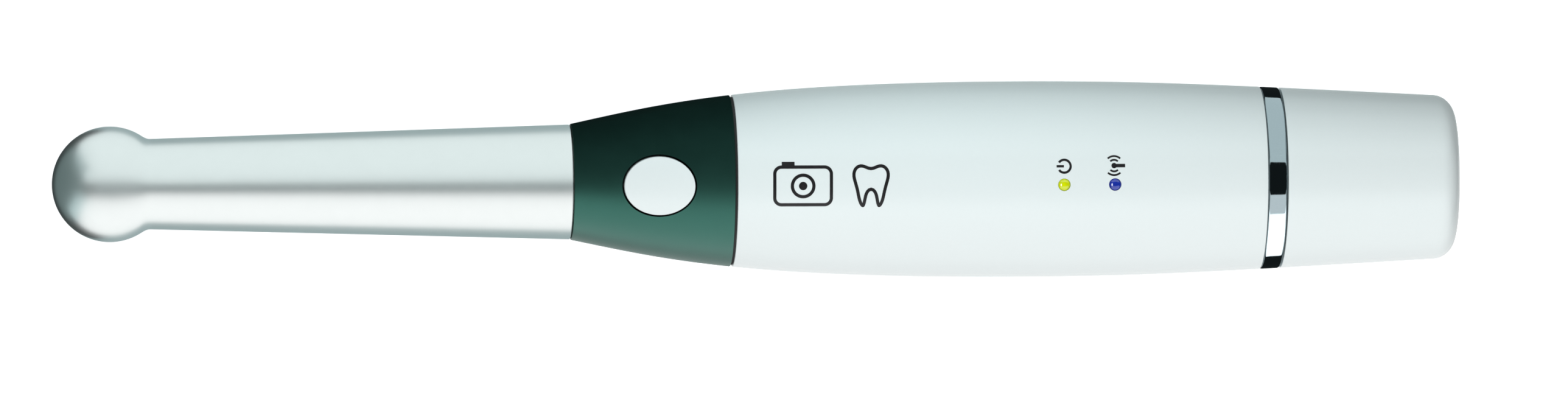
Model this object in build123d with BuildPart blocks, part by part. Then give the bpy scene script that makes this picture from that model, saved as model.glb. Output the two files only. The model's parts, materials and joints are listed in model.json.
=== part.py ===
"""A cordless intraoral camera: a slim aluminium tip with a camera head, a soft collar with the
capture button, and an oval white handle with the electronics and a battery bay under a rear cap.

Millimetres. +X runs from the head to the rear cap, +Z is the button side, and Z = 0 is the table
that the flat on the belly rests on. The origin is on that table, half way along the object.
"""

from build123d import *
import os
from math import cos, radians, sin

# ---------------------------------------------------------------- driving dimensions
LENGTH = 210.0  # head to rear cap
HALF = LENGTH / 2

# The handle's outer form: oval sections, each (x, half width, half height, height of its centre).
TIP_SEAM_X = -28.0  # the tip meets the collar
BODY_SEAM_X = -3.9  # the collar meets the casings
AXIS_Z = 12.5  # centre line of the casings, ring, cap and battery
TIP_Z = 13.5  # centre line of the tip, a little higher, so that it stays off the table
SECTIONS = [
    (TIP_SEAM_X, 8.6, 8.6, TIP_Z),
    (-15.5, 11.15, 10.5, 13.2),
    (BODY_SEAM_X, 12.8, 11.75, 12.9),
    (16.0, 14.2, 12.7, 12.6),
    (38.0, 14.6, 13.0, AXIS_Z),
    (58.0, 14.35, 12.8, AXIS_Z),
    (77.0, 13.55, 12.1, AXIS_Z),
    (HALF + 1.5, 12.0, 10.7, AXIS_Z),
]
WALL = 1.8  # casings and cap
COLLAR_WALL = 1.6
FIT = 0.05  # play between parts that stay together
ROOT = 0.9  # how deep ribs and posts reach into the casings' walls

# Tip
HEAD_R = 8.6  # the head is a flattened ball, round when seen from above
HEAD_RISE = 7.0  # half its thickness
HEAD_X = -HALF + HEAD_R
FLAT_Z = TIP_Z - 5.0  # the flat face under the head
FLAT_R = 6.1
TIP_WALL = 1.1
TUBE_R_REAR = 8.55
TUBE_R_HEAD = 6.54
CREASE_R = 0.6  # blend between the ball and the tube
SPIGOT_R = 7.55
SPIGOT_BORE = 6.2
SPIGOT_END_X = -22.8
NOSE_X = -27.5  # front end of the chassis, inside the spigot
NOSE_BORE = 4.9
SEAL_X = -26.9  # groove for the tip's seal
TIP_SCREW_X = -24.5

# Optics, heights above the flat face under the head
BEZEL_R = 5.2
BEZEL_T = 1.2
WINDOW_R = 2.6
LAMP_RING_R = 4.0
LAMP_R = 0.62
LAMPS = 8
LED_BOARD_H = (1.9, 2.5)
BARREL_R = 2.9
BARREL_BORE = 2.3
BARREL_H = (1.25, 5.2)
FOCUS_R = 3.6
FOCUS_TOP_H = 6.3
CARRIER_R = 5.4
SENSOR_SIDE = 3.6
SENSOR_H = (7.0, 7.6)
SENSOR_BOARD_R = 5.0
SENSOR_BOARD_TOP_H = 8.3
RIBBON_W = 5.0
RIBBON_T = 0.25
RIBBON_Z = 13.0
GUIDE_X = (-78.0, -30.0)

# Capture button, on top of the collar
BUTTON_X = -15.3
BUTTON_RX = 5.24
BUTTON_RY = 4.35
BUTTON_GAP = 0.28
BUTTON_PROUD = 0.35
FLANGE_Z = 19.3  # underside of the button's flange
FLANGE_T = 0.8
FLANGE_LIP = 0.8  # how far the flange reaches beyond the button
STEM_R = 1.5
STEM_END_Z = 17.9
PLUNGER_R = 1.1
PLUNGER_Z = (16.4, 17.6)
SWITCH_SIDE = 5.2
SWITCH_TOP_Z = 17.0
SWITCH_BOARD_Z = (14.4, 15.4)
SWITCH_BOARD_X = (-21.3, -9.5)
SWITCH_BOARD_W = 10.8

# Chassis and main board
FLOOR_Z = (8.0, 9.2)
FLOOR_X = (-22.0, 40.0)
FLOOR_W_FRONT = 11.0
FLOOR_W_REAR = 17.0
CHASSIS_SCREW_X = (12.0, 30.0)
BOARD_Z = (11.6, 12.6)
BOARD_X = (0.0, 40.0)
BOARD_W = 19.0
BOARD_SCREW_X = (4.0, 36.0)
BOARD_SCREW_Y = 6.6
CASING_SCREW_X = 42.3
CASING_SCREW_Y = 8.5
CASING_SCREW_HEAD_Z = (2.9, 4.0)

# Indicators, under the top of the upper casing
INDICATOR_X = (44.8, 52.4)  # power lamp, radio lamp
PIPE_R = 0.85
PIPE_TOP_Z = 25.62
INDICATOR_BOARD_Z = (20.6, 21.4)
INDICATOR_BOARD_X = (41.4, 56.0)
INDICATOR_BOARD_W = 10.0

# Battery bay: one 14500 cell, 14 mm across and 50 mm long with its terminal
CELL_R = 7.0
CELL_X = (48.9, 97.9)
TERMINAL_R = 2.75
TERMINAL_L = 1.0
SLEEVE_R = 7.85
SLEEVE_BORE = 7.25
SLEEVE_X = (44.6, 68.8)
SLEEVE_WALL = 1.5
LOWER_RIB_X = (50.0, 64.0)
UPPER_RIB_X = (60.0, 66.0)

# Trim ring, rear cap and the plug that carries the cap
RING_X = (75.45, 78.35)
RING_T = 1.35
RING_EDGE_R = 0.35
MOUTH = (10.8, 9.35)  # half width and half height of the casings' rear bore
MOUTH_X = 71.0
NECK_X = -8.9  # front end of the casings, inside the collar
CAP_X = RING_X[1] + 0.12
CAP_WEB_X = 80.0
CAP_INSIDE_X = 102.8
CAP_DOME_R = 110.0
CAP_EDGE_R = 3.0
PLUG = (10.55, 9.1)
PLUG_BORE = (9.3, 7.85)
PLUG_X = 69.3
CAP_SEAL_X = (72.6, 73.8)


# ---------------------------------------------------------------- helpers
def form(inset, x_from, x_to):
    """The handle's outer form shrunk all round by inset, between two places along X."""
    with BuildPart() as shape:
        for x, half_width, half_height, centre in SECTIONS:
            with BuildSketch(Plane.YZ.offset(x)):
                with Locations((0, centre)):
                    Ellipse(half_width - inset, half_height - inset)
        loft()
        split(bisect_by=Plane.YZ.offset(x_from), keep=Keep.TOP)
        split(bisect_by=Plane.YZ.offset(x_to), keep=Keep.BOTTOM)
    return shape.part


def oval_rod(half_axes, x_from, x_to):
    """A straight oval rod along X on the centre line of the casings."""
    with BuildPart() as rod:
        with BuildSketch(Plane.YZ.offset(x_from)):
            with Locations((0, AXIS_Z)):
                Ellipse(half_axes[0], half_axes[1])
        extrude(amount=x_to - x_from)
    return rod.part


def round_rod(radius, x_from, x_to, z, y=0.0):
    """A round rod along X."""
    with BuildPart() as rod:
        with BuildSketch(Plane.YZ.offset(x_from)):
            with Locations((y, z)):
                Circle(radius)
        extrude(amount=x_to - x_from)
    return rod.part


def round_post(radius, z_from, z_to, places):
    """Round posts along Z, one at each (x, y) place."""
    with BuildPart() as post:
        with BuildSketch(Plane.XY.offset(z_from)):
            with Locations(*places):
                Circle(radius)
        extrude(amount=z_to - z_from)
    return post.part


def block(x_range, width, z_range, y=0.0):
    """A rectangular block between two places along X and two heights, centred on y."""
    with BuildPart() as solid:
        with BuildSketch(Plane.XY.offset(z_range[0])):
            with Locations(((x_range[0] + x_range[1]) / 2, y)):
                Rectangle(x_range[1] - x_range[0], width)
        extrude(amount=z_range[1] - z_range[0])
    return solid.part


def band(points, radius, thickness, width, y=0.0):
    """A flat strip of metal or flex that follows a rounded path in the XZ plane."""
    with BuildPart() as strip:
        with BuildSketch(Plane.XZ.offset(-y)):
            with BuildLine():
                FilletPolyline(*points, radius=radius)
            trace(line_width=thickness)
        extrude(amount=width / 2, both=True)
    return strip.part


def head_form(inset):
    """The head's flattened ball, shrunk by inset."""
    radius = HEAD_R - inset
    with BuildPart() as ball:
        Sphere(radius, rotation=(0, 90, 0))
        scale(by=(1, 1, (HEAD_RISE - inset) / radius))
    return Pos(HEAD_X, 0, TIP_Z) * ball.part


def tube_form(inset, x_from, x_to):
    """The tip's slightly tapered tube, shrunk by inset."""
    slope = (TUBE_R_REAR - TUBE_R_HEAD) / (TIP_SEAM_X - HEAD_X)
    r_from = TUBE_R_HEAD + slope * (x_from - HEAD_X) - inset
    r_to = TUBE_R_HEAD + slope * (x_to - HEAD_X) - inset
    with BuildPart() as cone:
        with BuildSketch(Plane.XZ):
            with BuildLine():
                Polyline(
                    (x_from, TIP_Z),
                    (x_from, TIP_Z + r_from),
                    (x_to, TIP_Z + r_to),
                    (x_to, TIP_Z),
                    close=True,
                )
            make_face()
        revolve(axis=Axis((0, 0, TIP_Z), (1, 0, 0)))
    return cone.part


def radial_plane(angle, radius):
    """A plane on the tip's spigot, facing outwards, at an angle about the tip's centre line."""
    turn = radians(angle)
    return Plane(
        origin=(TIP_SCREW_X, radius * cos(turn), TIP_Z + radius * sin(turn)),
        x_dir=(1, 0, 0),
        z_dir=(0, cos(turn), sin(turn)),
    )


def height(h):
    """A level plane h above the flat face under the head."""
    return Plane.XY.offset(FLAT_Z + h)


HEAD = (HEAD_X, 0)
TIP_SCREW_ANGLES = (90, 210, 330)

# ---------------------------------------------------------------- tip
head_ball = head_form(0)
head_hollow = head_form(TIP_WALL)
tube = tube_form(0, HEAD_X, TIP_SEAM_X)
tube_hollow = tube_form(TIP_WALL, HEAD_X, TIP_SEAM_X - 1.5)
spigot = round_rod(SPIGOT_R, TIP_SEAM_X, SPIGOT_END_X, TIP_Z)
spigot_hollow = round_rod(SPIGOT_BORE, TIP_SEAM_X - 1.5, SPIGOT_END_X, TIP_Z)
head_floor = round_post(FLAT_R, FLAT_Z, FLAT_Z + BEZEL_T, [HEAD])

with BuildPart() as hollow:
    add(head_hollow)
    add(tube_hollow)
    split(bisect_by=Plane.XY.offset(0), keep=Keep.TOP)
    add(head_floor, mode=Mode.SUBTRACT)

with BuildPart() as tip_shell:
    add(head_ball)
    add(tube)
    crease = tip_shell.edges().filter_by(lambda e: HEAD_X + 1 < e.center().X < HEAD_X + HEAD_R)
    fillet(crease, CREASE_R)
    add(spigot)
    # the flat under the head, with a bevelled run-out into the tube
    with BuildSketch(Plane.XZ):
        with BuildLine():
            Polyline(
                (HEAD_X, FLAT_Z),
                (HEAD_X + FLAT_R, FLAT_Z),
                (HEAD_X + FLAT_R + FLAT_Z, 0),
                (HEAD_X, 0),
                close=True,
            )
        make_face()
    revolve(axis=Axis((HEAD_X, 0, 0), (0, 0, 1)), mode=Mode.SUBTRACT)
    add(hollow.part, mode=Mode.SUBTRACT)
    add(spigot_hollow, mode=Mode.SUBTRACT)
    # seat of the window bezel
    with BuildSketch(height(0)):
        with Locations(HEAD):
            Circle(BEZEL_R)
    extrude(amount=BEZEL_T, mode=Mode.SUBTRACT)
    # seal groove
    with BuildSketch(Plane.YZ.offset(SEAL_X - 0.45)):
        with Locations((0, TIP_Z)):
            Circle(SPIGOT_R + 0.1)
            Circle(SPIGOT_R - 0.7, mode=Mode.SUBTRACT)
    extrude(amount=0.9, mode=Mode.SUBTRACT)
    # counterbored holes for the screws that hold the tip on the chassis
    for angle in TIP_SCREW_ANGLES:
        with BuildSketch(radial_plane(angle, SPIGOT_R + 0.1)):
            Circle(1.2)
        extrude(amount=-0.75, mode=Mode.SUBTRACT)
        with BuildSketch(radial_plane(angle, SPIGOT_R)):
            Circle(0.75)
        extrude(amount=-1.6, mode=Mode.SUBTRACT)
tip_shell.part.label = "tip_shell"

with BuildPart() as window_bezel:
    with BuildSketch(height(0)):
        with Locations(HEAD):
            Circle(BEZEL_R - FIT)
            Circle(WINDOW_R, mode=Mode.SUBTRACT)
            with PolarLocations(LAMP_RING_R, LAMPS):
                Circle(LAMP_R, mode=Mode.SUBTRACT)
    extrude(amount=BEZEL_T)
window_bezel.part.label = "window_bezel"

with BuildPart() as window_glass:
    with BuildSketch(height(0.15)):
        with Locations(HEAD):
            Circle(WINDOW_R - FIT)
    extrude(amount=0.8)
window_glass.part.label = "window_glass"

with BuildPart() as illumination_lenses:
    with BuildSketch(height(0.1)):
        with Locations(HEAD):
            with PolarLocations(LAMP_RING_R, LAMPS):
                Circle(LAMP_R - 0.04)
    extrude(amount=0.9)
illumination_lenses.part.label = "illumination_lenses"

with BuildPart() as illumination_leds:
    with BuildSketch(height(LED_BOARD_H[0] - 0.5)):
        with Locations(HEAD):
            with PolarLocations(LAMP_RING_R, LAMPS):
                Rectangle(0.9, 0.9)
    extrude(amount=0.5)
illumination_leds.part.label = "illumination_leds"

with BuildPart() as led_board:
    with BuildSketch(height(LED_BOARD_H[0])):
        with Locations(HEAD):
            Circle(BEZEL_R - 0.1)
            Circle(BARREL_R + 0.2, mode=Mode.SUBTRACT)
    extrude(amount=LED_BOARD_H[1] - LED_BOARD_H[0])
led_board.part.label = "led_board"

with BuildPart() as lens_barrel:
    with BuildSketch(height(BARREL_H[0])):
        with Locations(HEAD):
            Circle(BARREL_R)
            Circle(BARREL_BORE, mode=Mode.SUBTRACT)
    extrude(amount=BARREL_H[1] - BARREL_H[0])
lens_barrel.part.label = "lens_barrel"


def lens(h_from, edge, bulge):
    """A plano-convex lens in the barrel: flat below, domed above."""
    radius = BARREL_BORE - 0.04
    z = FLAT_Z + h_from
    with BuildPart() as glass:
        with BuildSketch(Plane.XZ):
            with BuildLine():
                Polyline(
                    (HEAD_X, z + edge + bulge),
                    (HEAD_X, z),
                    (HEAD_X + radius, z),
                    (HEAD_X + radius, z + edge),
                )
                RadiusArc(
                    (HEAD_X + radius, z + edge),
                    (HEAD_X, z + edge + bulge),
                    -(radius**2 + bulge**2) / (2 * bulge),
                )
            make_face()
        revolve(axis=Axis((HEAD_X, 0, 0), (0, 0, 1)))
    return glass


front_lens = lens(1.5, 0.5, 0.5)
front_lens.part.label = "front_lens"

rear_lens = lens(3.4, 0.7, 0.6)
rear_lens.part.label = "rear_lens"

with BuildPart() as focus_module:
    with BuildSketch(height(BARREL_H[1])):
        with Locations(HEAD):
            Circle(FOCUS_R)
            Circle(1.4, mode=Mode.SUBTRACT)
    extrude(amount=FOCUS_TOP_H - BARREL_H[1])
focus_module.part.label = "focus_module"

with BuildPart() as camera_carrier:
    with BuildSketch(height(LED_BOARD_H[1] + 0.05)):
        with Locations(HEAD):
            Circle(CARRIER_R)
            Circle(BARREL_R + FIT, mode=Mode.SUBTRACT)
    extrude(amount=SENSOR_H[1] - LED_BOARD_H[1] - 0.05)
    with BuildSketch(height(BARREL_H[1])):
        with Locations(HEAD):
            Circle(FOCUS_R + FIT)
    extrude(amount=FOCUS_TOP_H - BARREL_H[1], mode=Mode.SUBTRACT)
camera_carrier.part.label = "camera_carrier"

with BuildPart() as image_sensor:
    with BuildSketch(height(SENSOR_H[0])):
        with Locations(HEAD):
            Rectangle(SENSOR_SIDE, SENSOR_SIDE)
    extrude(amount=SENSOR_H[1] - SENSOR_H[0])
image_sensor.part.label = "image_sensor"

with BuildPart() as sensor_board:
    with BuildSketch(height(SENSOR_H[1])):
        with Locations(HEAD):
            Circle(SENSOR_BOARD_R)
    extrude(amount=SENSOR_BOARD_TOP_H - SENSOR_H[1])
sensor_board.part.label = "sensor_board"

ribbon_start_z = FLAT_Z + SENSOR_BOARD_TOP_H + RIBBON_T / 2
ribbon = band(
    [
        (HEAD_X + 2.4, ribbon_start_z),
        (HEAD_X + 9.4, ribbon_start_z),
        (-80.0, RIBBON_Z),
        (BUTTON_X - 5.2, RIBBON_Z),
        (BUTTON_X, RIBBON_Z - 1.8),
        (BUTTON_X + 5.2, RIBBON_Z),
        (2.2, RIBBON_Z),
    ],
    1.6,
    RIBBON_T,
    RIBBON_W,
)
with BuildPart() as sensor_ribbon:
    add(ribbon)
sensor_ribbon.part.label = "sensor_ribbon"

guide_limits = tube_form(TIP_WALL + 0.1, GUIDE_X[0], GUIDE_X[1])
guide_plate = block(GUIDE_X, 2 * TUBE_R_REAR, (RIBBON_Z - 1.3, RIBBON_Z - 0.3))
with BuildPart() as ribbon_guide:
    add(guide_plate)
    add(guide_limits, mode=Mode.INTERSECT)
ribbon_guide.part.label = "ribbon_guide"

with BuildPart() as tip_seal:
    with BuildSketch(Plane.XZ):
        with Locations((SEAL_X, TIP_Z + SPIGOT_R - 0.35)):
            Circle(0.32)
    revolve(axis=Axis((0, 0, TIP_Z), (1, 0, 0)))
tip_seal.part.label = "tip_seal"

with BuildPart() as tip_screws:
    for angle in TIP_SCREW_ANGLES:
        with BuildSketch(radial_plane(angle, SPIGOT_R - 0.1)):
            Circle(1.15)
        extrude(amount=-0.55)
        with BuildSketch(radial_plane(angle, SPIGOT_R - 0.65)):
            Circle(0.68)
        extrude(amount=-1.65)
        with BuildSketch(radial_plane(angle, SPIGOT_R - 0.1)):
            Rectangle(1.5, 0.3)
            Rectangle(0.3, 1.5)
        extrude(amount=-0.25, mode=Mode.SUBTRACT)
tip_screws.part.label = "tip_screws"

# ---------------------------------------------------------------- collar and button
collar_outer = form(0, TIP_SEAM_X + 0.1, BODY_SEAM_X - 0.15)
collar_hollow = form(COLLAR_WALL, SPIGOT_END_X, BODY_SEAM_X)
collar_bore = round_rod(SPIGOT_R + FIT, TIP_SEAM_X, SPIGOT_END_X, TIP_Z)
with BuildPart() as collar_shell:
    add(collar_outer)
    add(collar_hollow, mode=Mode.SUBTRACT)
    add(collar_bore, mode=Mode.SUBTRACT)
    with BuildSketch(Plane.XY.offset(FLANGE_Z)):
        with Locations((BUTTON_X, 0)):
            Ellipse(BUTTON_RX + BUTTON_GAP, BUTTON_RY + BUTTON_GAP)
    extrude(amount=10, mode=Mode.SUBTRACT)
collar_shell.part.label = "collar_shell"

seal_outer = form(0.3, BODY_SEAM_X - 0.15, BODY_SEAM_X + 0.15)
seal_inner = form(COLLAR_WALL, BODY_SEAM_X - 1, BODY_SEAM_X + 1)
with BuildPart() as collar_seal:
    add(seal_outer)
    add(seal_inner, mode=Mode.SUBTRACT)
collar_seal.part.label = "collar_seal"

button_skin = form(-BUTTON_PROUD, TIP_SEAM_X, BODY_SEAM_X)
with BuildPart() as button_cap:
    with BuildSketch(Plane.XY.offset(FLANGE_Z + FLANGE_T)):
        with Locations((BUTTON_X, 0)):
            Ellipse(BUTTON_RX, BUTTON_RY)
    extrude(amount=8)
    add(button_skin, mode=Mode.INTERSECT)
    fillet(button_cap.edges().sort_by(Axis.Z)[-1], 0.4)
    with BuildSketch(Plane.XY.offset(FLANGE_Z)):
        with Locations((BUTTON_X, 0)):
            Ellipse(BUTTON_RX + FLANGE_LIP, BUTTON_RY + FLANGE_LIP)
    extrude(amount=FLANGE_T)
    with BuildSketch(Plane.XY.offset(STEM_END_Z)):
        with Locations((BUTTON_X, 0)):
            Circle(STEM_R)
    extrude(amount=FLANGE_Z - STEM_END_Z)
button_cap.part.label = "button_cap"

with BuildPart() as button_pad:
    with BuildSketch(Plane.XY.offset(SWITCH_BOARD_Z[1])):
        with Locations((BUTTON_X, 0)):
            Ellipse(6.0, 5.1)
            Ellipse(4.4, 3.7, mode=Mode.SUBTRACT)
    extrude(amount=FLANGE_Z - SWITCH_BOARD_Z[1])
button_pad.part.label = "button_pad"

with BuildPart() as tact_switch:
    with BuildSketch(Plane.XY.offset(SWITCH_BOARD_Z[1])):
        with Locations((BUTTON_X, 0)):
            RectangleRounded(SWITCH_SIDE, SWITCH_SIDE, 0.4)
    extrude(amount=SWITCH_TOP_Z - SWITCH_BOARD_Z[1])
    with BuildSketch(Plane.XY.offset(SWITCH_TOP_Z)):
        with Locations((BUTTON_X, 0)):
            Circle(PLUNGER_R + 0.1)
    extrude(amount=-1.0, mode=Mode.SUBTRACT)
tact_switch.part.label = "tact_switch"

with BuildPart() as switch_plunger:
    with BuildSketch(Plane.XY.offset(PLUNGER_Z[0])):
        with Locations((BUTTON_X, 0)):
            Circle(PLUNGER_R)
    extrude(amount=PLUNGER_Z[1] - PLUNGER_Z[0])
    fillet(switch_plunger.edges().group_by(Axis.Z)[-1], 0.2)
switch_plunger.part.label = "switch_plunger"

with BuildPart() as switch_board:
    add(block(SWITCH_BOARD_X, SWITCH_BOARD_W, SWITCH_BOARD_Z))
    fillet(switch_board.edges().filter_by(Axis.Z), 0.8)
switch_board.part.label = "switch_board"

with BuildPart() as switch_flex:
    add(band([(-11.0, 15.5), (-8.0, 15.5), (-2.5, 12.7), (1.2, 12.7)], 1.0, 0.2, 1.8, -4.6))
switch_flex.part.label = "switch_flex"

# ---------------------------------------------------------------- chassis
nose = round_rod(SPIGOT_BORE - FIT, NOSE_X, SPIGOT_END_X, TIP_Z)
nose_flange = round_rod(7.3, SPIGOT_END_X, FLOOR_X[0], TIP_Z)
nose_bore = round_rod(NOSE_BORE, NOSE_X - 1, FLOOR_X[0] + 1, TIP_Z)
front_floor = block((FLOOR_X[0], BOARD_X[0]), FLOOR_W_FRONT, FLOOR_Z)
rear_floor = block((BOARD_X[0], FLOOR_X[1]), FLOOR_W_REAR, FLOOR_Z)
board_places = [(x, y) for x in BOARD_SCREW_X for y in (-BOARD_SCREW_Y, BOARD_SCREW_Y)]
chassis_places = [(x, 0) for x in CHASSIS_SCREW_X]
with BuildPart() as chassis:
    add(nose)
    add(nose_flange)
    add(nose_bore, mode=Mode.SUBTRACT)
    add(front_floor)
    add(rear_floor)
    # side walls that carry the switch board
    for side in (-1, 1):
        add(block((-21.0, -9.8), 1.1, (FLOOR_Z[1], SWITCH_BOARD_Z[0]), side * 4.85))
    add(round_post(1.8, FLOOR_Z[1], BOARD_Z[0], board_places))
    add(round_post(0.78, FLOOR_Z[1] + 0.4, BOARD_Z[0], board_places), mode=Mode.SUBTRACT)
    add(round_post(0.85, FLOOR_Z[0], FLOOR_Z[1], chassis_places), mode=Mode.SUBTRACT)
    for angle in TIP_SCREW_ANGLES:
        with BuildSketch(radial_plane(angle, SPIGOT_BORE)):
            Circle(0.7)
        extrude(amount=-1.05, mode=Mode.SUBTRACT)
chassis.part.label = "chassis"


def screws(places, head_r, head_z, shank_r, shank_end_z):
    """Pan head screws that point down, with a cross recess in the head."""
    heads = round_post(head_r, head_z[0], head_z[1], places)
    shanks = round_post(shank_r, shank_end_z, head_z[0], places)
    with BuildPart() as group:
        add(heads)
        add(shanks)
        with BuildSketch(Plane.XY.offset(head_z[1])):
            with Locations(*places):
                Rectangle(head_r * 1.2, 0.35)
                Rectangle(0.35, head_r * 1.2)
        extrude(amount=-0.45, mode=Mode.SUBTRACT)
    return group


chassis_screws = screws(chassis_places, 1.5, (FLOOR_Z[1], FLOOR_Z[1] + 1.0), 0.8, 4.5)
chassis_screws.part.label = "chassis_screws"

board_screws = screws(board_places, 1.4, (BOARD_Z[1], BOARD_Z[1] + 0.9), 0.74, FLOOR_Z[1] + 0.6)
board_screws.part.label = "board_screws"

# ---------------------------------------------------------------- main board and its components
with BuildPart() as main_board:
    add(block(BOARD_X, BOARD_W, BOARD_Z))
    fillet(main_board.edges().filter_by(Axis.Z), 1.5)
    with BuildSketch(Plane.XY.offset(BOARD_Z[0])):
        with Locations(*board_places):
            Circle(0.85)
    extrude(amount=BOARD_Z[1] - BOARD_Z[0], mode=Mode.SUBTRACT)
main_board.part.label = "main_board"


def chips(places, length, width, thickness, above=True):
    """Rectangular components on the main board's top or underside, centred on the places."""
    base = BOARD_Z[1] if above else BOARD_Z[0]
    with BuildPart() as group:
        with BuildSketch(Plane.XY.offset(base)):
            with Locations(*places):
                Rectangle(length, width)
        extrude(amount=thickness if above else -thickness)
    return group


video_processor = chips([(18.0, 0)], 9.0, 9.0, 1.1)
video_processor.part.label = "video_processor"

memory_chips = chips([(18.0, -7.0), (18.0, 7.0)], 6.5, 3.6, 0.9)
memory_chips.part.label = "memory_chips"

radio_module = chips([(30.5, 0)], 11.0, 9.0, 1.8)
radio_module.part.label = "radio_module"

antenna = chips([(38.6, 0)], 1.6, 6.0, 1.0)
antenna.part.label = "antenna"

ribbon_connector = chips([(3.8, 0)], 3.2, 6.8, 1.3)
ribbon_connector.part.label = "ribbon_connector"

component_places = [(x, y) for x in (9.0, 11.0, 24.0) for y in (-7.5, -4.5, -1.5, 1.5, 4.5, 7.5)]
small_components = chips(component_places, 0.6, 1.2, 0.5)
small_components.part.label = "small_components"

power_components = chips([(21.0, -5.0), (21.0, 5.0)], 4.0, 4.0, 1.6, above=False)
power_components.part.label = "power_components"

# ---------------------------------------------------------------- casings
casing_places = [(CASING_SCREW_X, -CASING_SCREW_Y), (CASING_SCREW_X, CASING_SCREW_Y)]
shell_outer = form(0, BODY_SEAM_X + 0.15, RING_X[0])
front_neck = form(COLLAR_WALL + FIT, NECK_X, BODY_SEAM_X + 0.15)
rear_neck = form(RING_T + FIT, RING_X[0], RING_X[1])
front_bore = form(COLLAR_WALL + 1.3, NECK_X, BOARD_X[0] - 1)
shell_hollow = form(WALL, BOARD_X[0] - 1, MOUTH_X)
shell_mouth = oval_rod(MOUTH, MOUTH_X, RING_X[1])
post_limits = form(ROOT, NECK_X, RING_X[1])
sleeve_seat = round_rod(SLEEVE_R + FIT, SLEEVE_X[0] - 1, SLEEVE_X[1], AXIS_Z)
with BuildPart() as whole_shell:
    add(shell_outer)
    add(front_neck)
    add(rear_neck)
    add(front_bore, mode=Mode.SUBTRACT)
    add(shell_hollow, mode=Mode.SUBTRACT)
    add(shell_mouth, mode=Mode.SUBTRACT)

lower_ribs = [form(ROOT, x - 0.8, x + 0.8) for x in LOWER_RIB_X]
floor_ribs = [form(ROOT, x - 0.6, x + 0.6) for x in (6.0, 36.0)]
with BuildPart() as lower_fittings:
    for rib in lower_ribs:
        add(rib)
    split(bisect_by=Plane.XY.offset(AXIS_Z - 1.0), keep=Keep.BOTTOM)
    add(sleeve_seat, mode=Mode.SUBTRACT)
    # slot for the ground strip
    add(block((45.0, 69.0), 3.4, (4.1, 6.0)), mode=Mode.SUBTRACT)
    add(round_post(1.9, 0, AXIS_Z, casing_places))
    add(round_post(2.2, 0, FLOOR_Z[0], chassis_places))
    add(post_limits, mode=Mode.INTERSECT)
with BuildPart() as floor_supports:
    for rib in floor_ribs:
        add(rib)
    split(bisect_by=Plane.XY.offset(FLOOR_Z[0]), keep=Keep.BOTTOM)

with BuildPart() as lower_casing:
    add(whole_shell.part)
    split(bisect_by=Plane.XY.offset(AXIS_Z), keep=Keep.BOTTOM)
    add(lower_fittings.part)
    add(floor_supports.part)
    add(round_post(0.82, 4.3, FLOOR_Z[0], chassis_places), mode=Mode.SUBTRACT)
    add(round_post(0.9, 0, AXIS_Z, casing_places), mode=Mode.SUBTRACT)
    add(round_post(1.5, -1, CASING_SCREW_HEAD_Z[1], casing_places), mode=Mode.SUBTRACT)
    # flat on the belly
    split(bisect_by=Plane.XY, keep=Keep.TOP)
lower_casing.part.label = "lower_casing"

indicator_places = [(x, y) for x in (42.6, 54.8) for y in (-3.6, 3.6)]
upper_ribs = [form(ROOT, x - 0.8, x + 0.8) for x in UPPER_RIB_X]
with BuildPart() as upper_fittings:
    for rib in upper_ribs:
        add(rib)
    split(bisect_by=Plane.XY.offset(AXIS_Z + 1.0), keep=Keep.TOP)
    add(sleeve_seat, mode=Mode.SUBTRACT)
    add(round_post(1.9, AXIS_Z, 30, casing_places))
    add(round_post(1.0, INDICATOR_BOARD_Z[1], 30, indicator_places))
    add(post_limits, mode=Mode.INTERSECT)

with BuildPart() as upper_casing:
    add(whole_shell.part)
    split(bisect_by=Plane.XY.offset(AXIS_Z), keep=Keep.TOP)
    add(upper_fittings.part)
    add(round_post(0.83, AXIS_Z, 18.0, casing_places), mode=Mode.SUBTRACT)
    add(round_post(PIPE_R + FIT, 22.0, 30, [(x, 0) for x in INDICATOR_X]), mode=Mode.SUBTRACT)
upper_casing.part.label = "upper_casing"

with BuildPart() as casing_screws:
    add(round_post(1.35, CASING_SCREW_HEAD_Z[0], CASING_SCREW_HEAD_Z[1], casing_places))
    add(round_post(0.8, CASING_SCREW_HEAD_Z[1], 17.0, casing_places))
    with BuildSketch(Plane.XY.offset(CASING_SCREW_HEAD_Z[0])):
        with Locations(*casing_places):
            Rectangle(1.7, 0.35)
            Rectangle(0.35, 1.7)
    extrude(amount=0.5, mode=Mode.SUBTRACT)
casing_screws.part.label = "casing_screws"

ring_outer = form(0, RING_X[0], RING_X[1])
ring_inner = form(RING_T, RING_X[0] - 1, RING_X[1] + 1)
with BuildPart() as trim_ring:
    add(ring_outer)
    add(ring_inner, mode=Mode.SUBTRACT)
    fillet(trim_ring.edges().sort_by(SortBy.LENGTH)[-2:], RING_EDGE_R)
trim_ring.part.label = "trim_ring"

# ---------------------------------------------------------------- indicators
with BuildPart() as indicator_board:
    add(block(INDICATOR_BOARD_X, INDICATOR_BOARD_W, INDICATOR_BOARD_Z))
    fillet(indicator_board.edges().filter_by(Axis.Z), 1.0)
indicator_board.part.label = "indicator_board"

with BuildPart() as indicator_leds:
    with BuildSketch(Plane.XY.offset(INDICATOR_BOARD_Z[1])):
        with Locations(*[(x, 0) for x in INDICATOR_X]):
            Rectangle(1.6, 1.6)
    extrude(amount=0.6)
indicator_leds.part.label = "indicator_leds"

with BuildPart() as indicator_flex:
    add(band([(43.4, 20.5), (41.2, 20.5), (41.2, 12.7), (38.6, 12.7)], 0.8, 0.2, 1.6, 4.0))
indicator_flex.part.label = "indicator_flex"


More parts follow.
